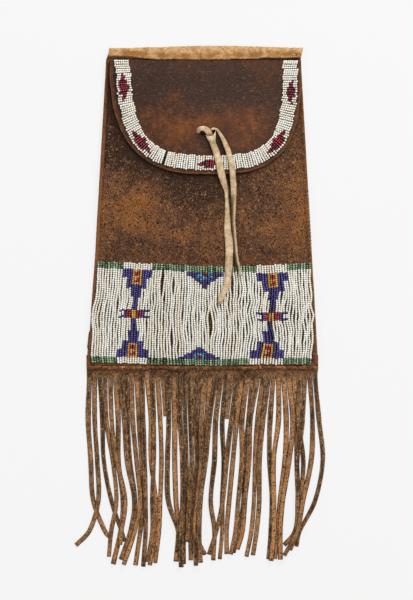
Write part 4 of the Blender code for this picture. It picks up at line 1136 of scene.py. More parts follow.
class BAG_OT_front_panel(bpy.types.Operator):
    """Lay the front panel's hide, pulled in along the side seams"""
    bl_idname = "bag.front_panel"
    bl_label = "Front Panel"

    def execute(self, context):
        def under(x, y):
            return front_top(x, y) - LEATHER - side_crease(x, y)

        flap_line = flap_edge_tree()

        def shaded_and_dirty(x, y, far):
            # Painted shade between the panel's strings and in the crease beside the seam, and a
            # painted shadow along the flap's edge
            below = PANEL_BOTTOM_Y + PANEL_HEIGHT - PANEL_TOP_DIP - y
            under_beads = 0.62 * ease(below / 0.0010) * ease((far - 0.0034) / 0.0008)
            gap = flap_line.find((x, y, 0.0))[2]
            left = ease((0.045 - x) / 0.03)
            by_flap = lerp(0.45, 0.80, left)
            by_flap *= math.exp(-(gap / lerp(0.0030, 0.0055, left)) ** 2)
            stitch = 0.6 + 0.8 * wave(y / 0.0016, x * 20, 4.0)
            seam = (0.85 if x < 0 else 0.45) * stitch
            seam *= math.exp(-((far - SEAM_INSET) / 0.0006) ** 2)
            return min(under_beads + by_flap + max(seam, 0.0), 0.9)

        def rim_at(x, y):
            by_panel = ease((PANEL_BOTTOM_Y + PANEL_HEIGHT - y) / 0.003)
            if x < 0:
                return 0.0022, lerp(0.95, 0.45, by_panel)
            return lerp(0.0008, 0.0030, by_panel), lerp(0.55, 0.40, by_panel)

        rows = body_rows(FRONT_INSET, BODY_BOTTOM_Y, mouth_y, 190, 170)
        piece = hide_sheet("front_hide", rows, under, LEATHER, PANEL_WEAR,
                           ("smoked_hide", "raw_hide_edge"), rim_at, shaded_and_dirty)
        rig.replaces(piece, "front_panel")
        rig.slot(piece, "smoked_leather")
        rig.ride(piece, "bag")
        return {"FINISHED"}


class BAG_OT_side_welts(bpy.types.Operator):
    """Sew the welt strips into the side seams"""
    bl_idname = "bag.side_welts"
    bl_label = "Side Welts"

    def execute(self, context):
        for side, name in ((-1, "left"), (1, "right")):
            low_y = BODY_BOTTOM_Y + FRINGE_SEAM_DEPTH + CLEAR
            rows = []
            for j in range(121):
                y = lerp(low_y, HORN_TOP_Y, j / 120)
                waver = 0.0001 * wave(side * 5.0, y / 0.006, 2.0)
                edge = body_edge(side, y) - FRONT_INSET / 2 + waver
                width = lerp(WELT_WIDTH, 0.0030, ease((y - HORN_Y + 0.004) / 0.004))
                rows.append([(side * (edge - width * k / 4), y) for k in range(4, -1, -1)])
            piece = hide_sheet(f"side_welt_hide_{name}", rows, lambda x, y: LEATHER + CLEAR,
                               WELT_THICKNESS, (), ("raw_hide_edge", "raw_hide_edge"))
            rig.replaces(piece, f"side_welt_{name}")
            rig.slot(piece, "raw_edge_leather")
            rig.ride(piece, "bag")
        return {"FINISHED"}


def arc(centre_y, centre_z, radius, start, end, steps):
    points = []
    for k in range(steps + 1):
        angle = math.radians(lerp(start, end, k / steps))
        points.append((centre_y + radius * math.cos(angle), centre_z + radius * math.sin(angle)))
    return points


def tube_faces(first, rings, sides):
    """Faces of a closed tube through rings of points, with its two ends last."""
    faces = []
    for ring in range(rings - 1):
        low = first + ring * sides
        for k in range(sides):
            n = (k + 1) % sides
            faces.append((low + k, low + sides + k, low + sides + n, low + n))
    last = first + (rings - 1) * sides
    faces.append(tuple(range(first, first + sides)))
    faces.append(tuple(range(last + sides - 1, last - 1, -1)))
    return faces


def loft(name, sections, materials, wear_and_highlight_at=None):
    """A closed smooth tube through sections of equal length."""
    verts = [tuple(corner) for section in sections for corner in section]
    faces = tube_faces(0, len(sections), len(sections[0]))
    piece = new_piece(name, verts, faces, materials)
    face_outwards(piece)
    store_flat(piece)
    wear = [wear_and_highlight_at(vert.co) if wear_and_highlight_at else 0.0 for vert in piece.data.vertices]
    store(piece, "wear", wear)
    return piece


def binding_lift(x):
    """How far the binding's lower edge is pulled up along the bag."""
    share = (x - BINDING_LEFT) / (BINDING_RIGHT - BINDING_LEFT)
    lift = 0.0026 * (1 - ease(share / 0.30)) + 0.0012 * ease((share - 0.55) / 0.3)
    return lift + 0.0005 * wave(x / 0.013, 4.4, 0.0)


class BAG_OT_top_binding(bpy.types.Operator):
    """Roll the light hide binding over the top edge"""
    bl_idname = "bag.top_binding"
    bl_label = "Top Binding"

    def execute(self, context):
        fold = BINDING_HEIGHT / 2
        roll = BINDING_ROLL / 2
        slot_y = BODY_TOP_Y + CLEAR
        outline = [(BINDING_LOW_Y, BINDING_LEAF), (BINDING_LOW_Y, 0.0)]
        outline += arc(BINDING_TOP_Y - fold, fold, fold, -90, 90, 16)
        top_from, top_to = BINDING_TOP_Y - fold, BINDING_LOW_Y + roll
        outline += [(lerp(top_from, top_to, k / 5), BINDING_HEIGHT) for k in range(1, 5)]
        outline += arc(BINDING_LOW_Y + roll, ROOT_UNDER + roll, roll, 90, 270, 12)
        outline += [(slot_y, ROOT_UNDER), (slot_y, BINDING_LEAF)]
        sections = []
        stations = 200
        for k in range(stations + 1):
            share = k / stations
            x = lerp(BINDING_LEFT, BINDING_RIGHT, share)
            bow = math.exp(-((share - 0.55) / 0.35) ** 2)
            crown = 0.0012 * bow - 0.0009 * (1 - bow)
            lift = binding_lift(x)
            section = []
            for y, z in outline:
                outside = z > ROOT_UNDER + 0.0002 or y > BODY_TOP_Y + 0.001
                top_side = z > ROOT_UNDER + 0.0002
                upper = ease((y - BINDING_LOW_Y) / BINDING_DEPTH)
                new_y = y + crown * upper * outside
                new_y += lift * (1 - upper) * top_side
                if outside:
                    where = Vector((x / 0.006, y / 0.004, z / 0.004))
                    bumps = 0.0003 * noise.noise(where) + 0.0003 * noise.noise(where * 2.7)
                    new_y += bumps
                    z += bumps * 0.8
                slant = 0.0018 * (1 - upper) * ease((share - 0.98) / 0.02)
                section.append((x - slant, new_y, max(z, 0.0)))
            sections.append(section)

        def wear_and_highlight_at(place):
            # A broken darker band a little above the lower edge, a painted highlight along the rolled lip, and a faint
            # painted highlight over the upper part
            above = place.y - BINDING_LOW_Y - binding_lift(place.x)
            band = math.exp(-((above - 0.0027) / 0.0019) ** 2)
            lip = math.exp(-(above / 0.0008) ** 2)
            broken = 0.45 + 0.9 * wave(place.x / 0.009, 3.1, 0.0)
            broken *= ease((place.x - BINDING_LEFT - 0.006) / 0.012)
            high = ease((above - 0.0045) / 0.002)
            return 0.34 * band * max(broken, 0.0) - 0.22 * lip - 0.05 * high

        piece = loft("binding_hide_roll", sections, ("binding_hide",), wear_and_highlight_at)
        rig.replaces(piece, "top_binding")
        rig.slot(piece, "tan_hide")
        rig.ride(piece, "bag")
        return {"FINISHED"}


THREAD_RADIUS = 0.00050
THREAD_SIDES = 6
# Each stitch swells from its ends to its middle: share of its length, share of its radius
STITCH_RINGS = ((0.0, 0.4), (0.15, 0.9), (0.5, 1.0), (0.85, 0.9), (1.0, 0.4))
WHIP_STITCHES = 15
WHIP_TOP_Y = 0.0130
WHIP_PITCH = 0.0030
BINDING_STITCH_ENDS = (0.0705, 0.0765)
BINDING_STITCH_ABOVE = 0.0035


def thread(name, stitches, replaced):
    """Short stitches of waxed thread, each from one point to another."""
    verts, faces = [], []
    for start, end in stitches:
        first = len(verts)
        run = (end - start).normalized()
        across = run.cross(Vector((0.0, 0.0, 1.0))).normalized()
        up = across.cross(run)
        for share, reach in STITCH_RINGS:
            for k in range(THREAD_SIDES):
                angle = math.tau * k / THREAD_SIDES
                out = across * math.cos(angle) + up * math.sin(angle)
                verts.append(start.lerp(end, share) + out * (THREAD_RADIUS * reach))
        faces += tube_faces(first, len(STITCH_RINGS), THREAD_SIDES)
    piece = new_piece(name, verts, faces, ("waxed_thread",))
    face_outwards(piece)
    store_flat(piece)
    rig.replaces(piece, replaced)
    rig.slot(piece, "raw_edge_leather")
    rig.ride(piece, "bag")


class BAG_OT_stitches(bpy.types.Operator):
    """Sew the whip stitches along the right edge and the one in the binding"""
    bl_idname = "bag.stitches"
    bl_label = "Stitches"

    def execute(self, context):
        stitches = []
        pick = random.Random(STITCH_SEED)
        for k in range(WHIP_STITCHES):
            y = WHIP_TOP_Y - k * WHIP_PITCH + pick.uniform(-0.0004, 0.0004)
            edge = body_edge(1, y) - FRONT_INSET
            z = SEAM_UNDER + LEATHER
            start = Vector((edge - 0.0012, y + 0.0007, z + 0.0003))
            end = Vector((edge + 0.0006, y - 0.0004, z - 0.0012))
            stitches.append((start, end))
        thread("whip_stitches", stitches, "side_welt_right")
        y = BINDING_LOW_Y + BINDING_STITCH_ABOVE
        z = BINDING_HEIGHT + 0.0001
        left, right = BINDING_STITCH_ENDS
        stitch = (Vector((left, y, z)), Vector((right, y + 0.0003, z)))
        thread("binding_stitch", [stitch], "top_binding")
        return {"FINISHED"}


def header_under(y):
    return (LEATHER + CLEAR) * (1 - ease((BODY_BOTTOM_Y - y) / FRINGE_FALL))


class BAG_OT_bottom_welt(bpy.types.Operator):
    """Roll the lumpy edge along the bottom seam"""
    bl_idname = "bag.bottom_welt"
    bl_label = "Bottom Welt"

    def execute(self, context):
        high_y = BODY_BOTTOM_Y - CLEAR
        left_end = FRINGE_INSET - body_edge(-1, BODY_BOTTOM_Y)
        right_end = body_edge(1, BODY_BOTTOM_Y) - FRINGE_INSET
        stations = 320
        profile = [(0.0, 0.0), (-0.04, 0.35), (0.03, 0.75), (0.2, 1.0), (0.42, 1.08),
                   (0.64, 0.95), (0.84, 0.65), (0.97, 0.3), (1.0, 0.0)]
        sections = []
        for k in range(stations + 1):
            x = lerp(left_end, right_end, k / stations)
            lump = 1.3 * wave(x / 0.0052, 1.3, 0.0)
            lump += 0.9 * wave(x / 0.0021, 5.3, 0.0)
            shift = 0.0007 * wave(x / 0.008, 9.1, 0.0)
            section = []
            for share, lift in profile:
                y = high_y + shift - BOTTOM_WELT_WIDTH * share * (1 + 0.20 * lump)
                rest = header_under(y) + FRINGE_THICKNESS + CLEAR
                section.append((x, y, rest + lift * (BOTTOM_WELT_HEIGHT + 0.0004 * lump)))
            sections.append(section)
        piece = loft("bottom_welt_roll", sections, ("seam_hide_edge",))
        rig.replaces(piece, "bottom_welt")
        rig.slot(piece, "raw_edge_leather")
        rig.ride(piece, "bag")
        return {"FINISHED"}


def flap_edge(share, inset=0.0):
    """A point of the flap's curved edge, from the left root to the right root."""
    angle = math.pi * share
    cosine, sine = math.cos(angle), abs(math.sin(angle))
    roundness = FLAP_LEFT_ROUNDNESS if cosine > 0 else FLAP_RIGHT_ROUNDNESS
    power = 2 / roundness
    x = FLAP_CENTRE - FLAP_HALF_WIDTH * math.copysign(abs(cosine) ** power, cosine)
    y = ROOT_Y - FLAP_DROP * sine**power
    if inset == 0.0:
        return x, y
    step = 0.002
    before = flap_edge(max(share - step, 0.0))
    after = flap_edge(min(share + step, 1.0))
    run = Vector((after[0] - before[0], after[1] - before[1])).normalized()
    return x - run.y * inset, y + run.x * inset


EDGE_SAMPLES = 400


def flap_edge_tree():
    """A search tree of the flap's edge in plan."""
    return tree_of([flap_edge(k / EDGE_SAMPLES) for k in range(EDGE_SAMPLES + 1)])


# The hide alone bends between these places when the flap opens. The beads ride the
# flap, and the string next to the fold still shows through the hide when it is open.
BLEND_START = (0.0, ROOT_Y - 0.0008, 0.0)
BLEND_END = (0.0, ROOT_Y - 0.0032, 0.0)


class BAG_OT_flap(bpy.types.Operator):
    """Cut the flap's hide with its two slits and hang it from the fold"""
    bl_idname = "bag.flap"
    bl_label = "Flap"

    def execute(self, context):
        columns, lines = 120, 100
        lowest = 0.492
        rows = []
        for j in range(lines + 1):
            # The rows stand closer together towards the flap's lowest point
            share = lowest * (1 - (1 - j / lines) ** 1.25)
            x_left, y = flap_edge(share)
            depth = (ROOT_Y - y) / FLAP_DROP
            reach = (1 - depth**FLAP_RIGHT_ROUNDNESS) ** (1 / FLAP_RIGHT_ROUNDNESS)
            x_right = FLAP_CENTRE + FLAP_HALF_WIDTH * reach
            waver = 0.0003 * wave(1.0, y / 0.012, 0.0)
            x_left, x_right = x_left + waver, x_right + waver
            rows.append([(lerp(x_left, x_right, i / columns), y) for i in range(columns + 1)])

        flap_line = flap_edge_tree()

        def shaded_and_dirty(x, y, far):
            # Painted shade between the border's beads, and the thong's painted shadow on the flap
            gap = flap_line.find((x, y, 0.0))[2]
            near = ease((gap - BORDER_MARGIN) / 0.0008)
            under_beads = 0.8 * near * ease((BORDER_MARGIN + BORDER_WIDTH - gap) / 0.0008)
            return min(under_beads + patches(THONG_SHADOW, x, y), 0.9)

        def rim_at(x, y):
            return 0.0007, 0.55 * ease((ROOT_Y - 0.004 - y) / 0.004)

        piece = hide_sheet("flap_hide", rows, flap_under, LEATHER, FLAP_WEAR,
                           ("flap_hide", "flap_hide"), rim_at, shaded_and_dirty)
        cut_slits(piece)
        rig.blend(piece, "bag", "flap", BLEND_START, BLEND_END)
        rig.replaces(piece, "flap")
        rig.slot(piece, "smoked_leather")
        return {"FINISHED"}


# The slits as they are pulled open: middle, width and length, and turn in degrees
OPEN_SLITS = (
    ((-0.0014, 0.0590), (0.0030, 0.0064), 62.0),
    ((0.0094, 0.0583), (0.0030, 0.0040), 0.0),
)


def cut_slits(piece):
    """Open the two slits for the thong."""
    for place, (width, length), turn in OPEN_SLITS:
        x, y = below_root(place)
        z = flap_top(x, y)
        bpy.ops.mesh.primitive_cylinder_add(
            vertices=24, radius=0.5, depth=4 * LEATHER, location=(x, y, z))
        cutter = bpy.context.active_object
        cutter.scale = (width, length, 1.0)
        cutter.rotation_euler = (0.0, 0.0, math.radians(turn))
        cut = piece.modifiers.new("slit", "BOOLEAN")
        cut.operation = "DIFFERENCE"
        cut.solver = "EXACT"
        cut.object = cutter
        bpy.context.view_layer.objects.active = piece
        bpy.ops.object.modifier_apply(modifier=cut.name)
        bpy.data.objects.remove(cutter, do_unlink=True)


# How high a bead's middle lies over the hide, as share of its diameter: it beds in a little
BEAD_REST = 0.46
BEAD_SIDES = 8
# Each ring of a bead as its place along the bead's length and its share of the radius
BEAD_RINGS = ((-0.50, 0.48), (-0.38, 0.86), (0.0, 1.0), (0.38, 0.86), (0.50, 0.48))


class BeadMaker:
    """Collects beads of one field and turns them into one mesh."""

    def __init__(self, seed):
        self.random = random.Random(seed)
        self.verts = []
        self.faces = []
        self.index = []
        self.tones = []
        self.shades = []

    def add(self, place, top, string, row, diameter, length, shade):
        """One bead at a string and row, with its hole along its string.

        place(string, row) gives its place in plan, and top(x, y) the height under it.
        """
        x, y = place(string + 0.5, row + 0.5)
        ahead = Vector(place(string + 0.5, row + 0.9))
        behind = Vector(place(string + 0.5, row + 0.1))
        centre = Vector((x, y, top(x, min(y, ROOT_Y)) + CLEAR + diameter * BEAD_REST))
        along = Vector((*(ahead - behind), top(*ahead) - top(*behind))).normalized()
        # No two beads are quite alike in their tilt, width, place and length
        pick = self.random
        along = (along + Vector([pick.uniform(-0.07, 0.07) for _ in range(3)])).normalized()
        across = along.cross(Vector((0, 0, 1))).normalized()
        up = across.cross(along)
        radius = diameter / 2 * pick.uniform(0.90, 1.05)
        centre = centre + across * pick.uniform(-0.00009, 0.00009)
        length = length * pick.uniform(0.93, 1.04)
        turn = pick.uniform(0, math.tau)
        first = len(self.verts)
        for step, reach in BEAD_RINGS:
            for k in range(BEAD_SIDES):
                angle = turn + math.tau * k / BEAD_SIDES
                out = across * math.cos(angle) + up * math.sin(angle)
                self.verts.append(centre + along * (step * length) + out * (reach * radius))
        new_faces = tube_faces(first, len(BEAD_RINGS), BEAD_SIDES)
        self.faces += new_faces
        if shade not in self.shades:
            self.shades.append(shade)
        self.index += [self.shades.index(shade)] * len(new_faces)
        # The beads of one string share a lot, which is deeper or paler than the next
        lot = 0.5 + 1.7 * wave(string * 2.7, 3.3, 0.5)
        tone = min(max(lerp(pick.random() ** 1.5, lot, 0.55), 0.0), 1.0)
        self.tones += [tone] * (len(BEAD_RINGS) * BEAD_SIDES)

    def finish(self, name):
        materials = [f"bead_{shade}" for shade in self.shades]
        piece = new_piece(name, self.verts, self.faces, materials, self.index)
        store(piece, "bead", self.tones)
        return piece


def block(first_string, last_string, first_row, last_row):
    return {
        (string, row)
        for string in range(first_string, last_string)
        for row in range(first_row, last_row)
    }


def stepped(steps, centre, top):
    """Cells of a motif that is symmetrical about a centre string."""
    cells = set()
    for first, last, reach in steps:
        cells |= block(centre - reach, centre + reach, top + first, top + last)
    return cells


def ground_from(seed, plain):
    """Every plain cell that joins the seed side to side."""
    found = {seed}
    waiting = [seed]
    while waiting:
        string, row = waiting.pop()
        for near in ((string + 1, row), (string - 1, row), (string, row + 1), (string, row - 1)):
            if near in plain and near not in found:
                found.add(near)
                waiting.append(near)
    return found


def figure_parts(side, centre, top, stem_centre, low_centre, low_top):
    """One stepped figure: two halves, the patches in them, and the cross between."""
    middle = top + FIGURE_UPPER_ROWS[-1][1]
    stem_top = middle + FIGURE_CROSS_ROWS
    upper_patch = stepped(FIGURE_UPPER_PATCH_ROWS, centre, top)
    lower_patch = stepped(FIGURE_LOWER_PATCH_ROWS, low_centre, low_top)
    stem = block(stem_centre - 1, stem_centre + 1, stem_top, low_top)
    parts = {
        "upper_blue": stepped(FIGURE_UPPER_ROWS, centre, top) - upper_patch,
        "upper_yellow": upper_patch,
        "lower_blue": (stem | stepped(FIGURE_LOWER_ROWS, low_centre, low_top)) - lower_patch,
        "lower_yellow": lower_patch,
        "middle_yellow": block(centre - 1, centre + 1, middle, stem_top),
        "left_red": block(centre - 3, centre - 1, middle, stem_top),
        "right_red": block(centre + 1, centre + 3, middle, stem_top),
    }
    left_notch = block(centre - 6, centre - 4, middle + 1, middle + 3)
    right_notch = block(centre + 4, centre + 6, middle + 1, middle + 3)
    parts["left_fork_blue"] = block(centre - 6, centre - 3, middle, stem_top) - left_notch
    parts["right_fork_blue"] = block(centre + 3, centre + 6, middle, stem_top) - right_notch
    return {f"{side}_figure_{name}": cells for name, cells in parts.items()}


def centre_parts(place, steps, centre, top):
    """A centre triangle with a turquoise ring and a red core, from the steps of each."""
    outline, ring, core = [stepped(rows, centre, top) for rows in steps]
    return {
        f"{place}_triangle_blue": outline - ring - core,
        f"{place}_triangle_turquoise": ring - core,
        f"{place}_triangle_red": core,
    }


def panel_parts():
    """Cells of every coloured patch and of the white ground between them."""
    parts = {}
    parts.update(figure_parts("left", centre=16, top=3, stem_centre=16, low_centre=16, low_top=32))
    parts.update(figure_parts("right", centre=67, top=4, stem_centre=66, low_centre=65, low_top=32))
    top_steps = (TOP_CENTRE_ROWS, TOP_CENTRE_RING_ROWS, TOP_CENTRE_CORE_ROWS)
    bottom_steps = (BOTTOM_CENTRE_ROWS, BOTTOM_CENTRE_RING_ROWS, BOTTOM_CENTRE_CORE_ROWS)
    parts.update(centre_parts("top", top_steps, centre=42, top=3))
    parts.update(centre_parts("bottom", bottom_steps, centre=40, top=39))
    lowest = PANEL_ROWS - GREEN_ROWS
    for end, runs, first in (("top", TOP_GREEN, 0), ("bottom", BOTTOM_GREEN, lowest)):
        for side, left, right in runs:
            parts[f"{end}_green_{side}"] = block(left, right, first, first + GREEN_ROWS)
    plain = block(0, PANEL_STRINGS, 0, PANEL_ROWS)
    for cells in parts.values():
        plain -= cells
    seeds = {
        "white_left": (0, 20),
        "white_main": (PANEL_STRINGS - 1, 20),
        "white_above_left": (16, 0),
        "white_below_left": (16, PANEL_ROWS - 1),
        "white_below_right": (65, PANEL_ROWS - 1),
    }
    for name, seed in seeds.items():
        parts[name] = ground_from(seed, plain)
    return parts


def panel_place(string, row):
    """A place on the panel by bead string and row, with the strings' stray lines."""
    side = 2 * string / PANEL_STRINGS - 1
    own = wave(math.floor(string) * 3.7, 0.5, row / 21.0)
    row = row + 0.6 * own
    share = min(max(row / PANEL_ROWS, 0.0), 1.0)
    rise = between(PANEL_RISE, side) * MM * (1 - share)
    top_y = PANEL_BOTTOM_Y + PANEL_HEIGHT - PANEL_TOP_DIP * (1 - side**2) + rise
    low_y = PANEL_BOTTOM_Y + between(PANEL_LOW_RISE, side) * MM
    y = lerp(top_y, low_y, row / PANEL_ROWS)
    x = side * (half_width(y) - PANEL_SIDE_MARGIN)
    at_string = [(share, between(list(zip(DRIFT_STRINGS, drifts)), string))
                 for share, drifts in PANEL_DRIFT]
    x += between(at_string, share) * MM
    held = math.sin(math.pi * share) ** 0.7
    wander = bpy.context.scene.bag_sizes.wander * held
    loose = 0.8 + 0.8 * ease((side + 0.2) / 0.8)
    x += wander * loose * 1.4 * wave(string / 8.0, row / 9.0, 1.7)
    x += wander * loose * 1.3 * wave(string / 2.6, row / 5.0, 2.9)
    x += wander * 1.0 * wave(string / 1.3, row / 7.0, 4.1)
    for right, first, last, width in PARTINGS:
        part = (row - first) / (last - first)
        if 0 < part < 1:
            away = string - right
            push = width * MM / 2 * math.sin(math.pi * part)
            x += math.copysign(push, away) * math.exp(-abs(away) / 4.0)
    return x, y


def patch_shade(name, cells, string, row):
    """Which glass a bead of a coloured patch is made of."""
    shade = next(shade for shade in ("white", "green", "blue", "yellow", "turquoise", "red")
                 if shade in name)
    # The two middle strings of a yellow patch are peach and orange-red in turns
    if shade == "yellow" and "middle" not in name:
        left = min(s for s, _ in cells)
        top = min(r for _, r in cells)
        if string - left in (1, 2):
            step = row - top
            return "peach" if step in (0, 3, 6) or (string - left + step) % 4 == 1 else "orange_red"
    # Four strings of the top triangle have purple beads
    if shade == "blue" and "top_triangle" in name and abs(string - 41.5) in (4.5, 0.5):
        return "purple"
    # Blue beads are mixed into its ring, and two reds into the figures
    if shade == "turquoise" and "top" in name and (string + row) % 3 == 0:
        return "blue"
    if shade == "red" and "figure" in name and (string + row) % 3 != 0:
        return "orange_red"
    return shade


class BAG_OT_panel_beads(bpy.types.Operator):
    """String the beads of the lower panel, one piece for each patch of colour"""
    bl_idname = "bag.panel_beads"
    bl_label = "Panel Beads"

    def execute(self, context):
        sizes = context.scene.bag_sizes
        for number, (name, cells) in enumerate(panel_parts().items()):
            maker = BeadMaker(number + PANEL_SEED)
            for string, row in sorted(cells):
                maker.add(panel_place, front_top, string, row, sizes.bead_diameter,
                          sizes.bead_length, patch_shade(name, cells, string, row))
            piece = maker.finish(f"beads_{name}")
            node = f"panel_{name}"
            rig.replaces(piece, node)
            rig.slot(piece, next(part["material_slot"] for part in frame["record"]["subparts"]
                                if part["node"] == node))
            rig.ride(piece, "bag")
        return {"FINISHED"}


def lengths_along(points):
    """The length of a line up to each of its points."""
    reach = [0.0]
    for before, after in zip(points, points[1:]):
        reach.append(reach[-1] + (after - before).length)
    return reach


def step_at(reach, target):
    """The step of a line that a length along it falls in, and how far into the step."""
    last = len(reach) - 1
    k = next((k for k in range(1, last) if reach[k] >= target), last)
    return k, (target - reach[k - 1]) / (reach[k] - reach[k - 1])


class BorderStrings:
    """Places bead strings across the flap's border."""

    def __init__(self, samples=960):
        middle = BORDER_MARGIN + BORDER_WIDTH / 2
        self.shares = [k / samples for k in range(samples + 1)]
        points = [Vector(flap_edge(share, middle)) for share in self.shares]
        self.reach = lengths_along(points)
        self.strings = round(self.reach[-1] / BORDER_STRING_PITCH)

    def place(self, string, row):
        lean = 0.9 * wave(string / 9.0, 2.0, 0.3)
        string = string + lean * (row / BORDER_ROWS - 0.5)
        string += 0.12 * wave(string / 1.1, row / 5.0, 6.3)
        for share, width in BORDER_PARTINGS:
            away = string - round(share * self.strings)
            push = width / 2 * MM / BORDER_STRING_PITCH
            string += math.copysign(push, away) * math.exp(-abs(away) / 3.0)
        k, part = step_at(self.reach, self.reach[-1] * string / self.strings)
        share = lerp(self.shares[k - 1], self.shares[k], part)
        row = row + 0.8 * wave(math.floor(string) * 2.3, 0.4, 8.8)
        shift = between(BORDER_SHIFT, string / self.strings) * MM
        return flap_edge(share, BORDER_MARGIN + shift + row * BORDER_BEAD_LENGTH)


class BAG_OT_border_beads(bpy.types.Operator):
    """String the beads along the flap's edge"""
    bl_idname = "bag.border_beads"
    bl_label = "Border Beads"

    def execute(self, context):
        sizes = context.scene.bag_sizes
        border = BorderStrings()
        fields = {"white_border": block(0, border.strings, 0, BORDER_ROWS)}
        for place, share, shorter in BORDER_TRIANGLES:
            centre = round(share * border.strings)
            cells = stepped_across(centre, shorter)
            fields["white_border"] -= cells
            fields[f"red_{place}"] = cells
        for number, (name, cells) in enumerate(fields.items()):
            maker = BeadMaker(number + BORDER_SEED)
            shade = "red" if name.startswith("red") else "white"
            for string, row in sorted(cells):
                maker.add(border.place, flap_top, string, row, sizes.border_bead_diameter,
                          BORDER_BEAD_LENGTH * 0.98, shade)
            piece = maker.finish(f"beads_flap_{name}")
            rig.ride(piece, "flap")
            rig.replaces(piece, f"flap_{name}")
            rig.slot(piece, f"{shade}_glass")
        return {"FINISHED"}


def stepped_across(centre, shorter):
    """Cells of one triangle of the border, its base towards the flap's edge."""
    cells = set()
    for first, last, reach in BORDER_TRIANGLE_ROWS:
        cells |= block(centre - reach + shorter, centre + reach - shorter, first, last)
    return cells


def curve_point(before, start, end, after, t):
    """A point of the smooth curve from start to end that also heeds its neighbours."""
    return 0.5 * (
        2 * start + (end - before) * t
        + (2 * before - 5 * start + 4 * end - after) * t**2
        + (3 * start - before - 3 * end + after) * t**3
    )


CURVE_STEPS = 12


def even_points(route, step):
    """Points at even steps along a smooth curve through the route."""
    ends = [2 * route[0] - route[1], *route, 2 * route[-1] - route[-2]]
    curve = []
    for span in range(len(route) - 1):
        near = ends[span:span + 4]
        curve += [curve_point(*near, k / CURVE_STEPS) for k in range(CURVE_STEPS)]
    curve.append(route[-1])
    reach = lengths_along(curve)
    count = max(2, round(reach[-1] / step))
    found = [curve[0]]
    for n in range(1, count + 1):
        k, part = step_at(reach, reach[-1] * n / count)
        found.append(curve[k - 1].lerp(curve[k], part))
    return found


# A ribbon's section has ten corners, and its flanks and upper bevels start at these four
SECTION_CORNERS = 10
CUT_CORNERS = (2, 3, 6, 7)


class RibbonMaker:
    """Collects flat strips of hide and turns them into one mesh.

    bevel is the share of half the width that its edges are rounded over, and raw how
    strongly those edges show the colour of cut hide.
    """

    def __init__(self, bevel=0.20, raw=0.5):
        self.bevel = bevel
        self.raw = raw
        self.verts = []
        self.faces = []
        self.index = []
        self.flat = []
        self.wear = []
        self.rim = []
        self.soil = []

    def section(self, cut):
        """Corners of a section, whose edges are square where the strip isn't cut yet."""
        inner, low = 1 - self.bevel * cut, 1 - 0.75 * cut
        half = ((1, -low), (1, low), (inner, 1), (0, 1))
        return ((0, -1), (inner, -1), *half, (-inner, 1), (-1, low), (-1, -low), (-inner, -1))

    def add(self, points, turns, widths, thickness, flat_at, wear, cuts=None, cup=0.0,
            shaded_and_dirty=no_darkening):
        """One strip along points in space, turned about its own run.

        soiled(a, share, cut) tells how far dirt and painted shade darken it across, from -1
        to 1, and along.
        """
        first = len(self.verts)
        cuts = cuts or [1.0] * len(points)
        along = 0.0
        for k, point in enumerate(points):
            ahead = (points[min(k + 1, len(points) - 1)] - points[max(k - 1, 0)]).normalized()
            side = Vector((-ahead.y, ahead.x, 0.0)).normalized()
            face = ahead.cross(side)
            across = side * math.cos(turns[k]) + face * math.sin(turns[k])
            through = face * math.cos(turns[k]) - side * math.sin(turns[k])
            if through.z < 0:
                across, through = -across, -through
            if k:
                along += (point - points[k - 1]).length
            for a, b in self.section(cuts[k]):
                reach = a * widths[k] / 2
                lift = b * thickness / 2 + cup * cuts[k] * (1 - a * a) * widths[k]
                self.verts.append(point + across * reach + through * lift)
                self.flat.append((flat_at[0] + reach / MM, flat_at[1] - along / MM, b))
                self.wear.append(wear[k])
                self.rim.append(self.raw * cuts[k] * ease((abs(a) - 0.50) / 0.45))
                self.soil.append(shaded_and_dirty(a, k / (len(points) - 1), cuts[k]))
        self.faces += tube_faces(first, len(points), SECTION_CORNERS)
        ring = [1 if corner in CUT_CORNERS else 0 for corner in range(SECTION_CORNERS)]
        self.index += ring * (len(points) - 1) + [1, 1]

    def finish(self, name, materials):
        piece = new_piece(name, self.verts, self.faces, materials, self.index)
        face_outwards(piece)
        store_flat(piece, self.flat)
        store(piece, "wear", self.wear)
        store(piece, "rim", self.rim)
        store(piece, "soil", self.soil)
        return piece


def settle(rests, rounds, sag, held):
    """Heights of a strip that spans between what it rests on and sags a little each round.

    The first point of a held strip stays down.
    """
    last = len(rests) - 1
    heights = list(rests)
    for _ in range(rounds):
        heights = [
            max(rests[k], 0.5 * (heights[max(k - 1, 0)] + heights[min(k + 1, last)]) - sag)
            for k in range(last + 1)
        ]
        if held:
            heights[0] = rests[0]
    return heights


STRAND_STEP = 0.0032
STRAND_REACH = 9
SLIT_STARTS = (0.0048, 0.0115)
SEAM_Y = BODY_BOTTOM_Y + FRINGE_SEAM_DEPTH


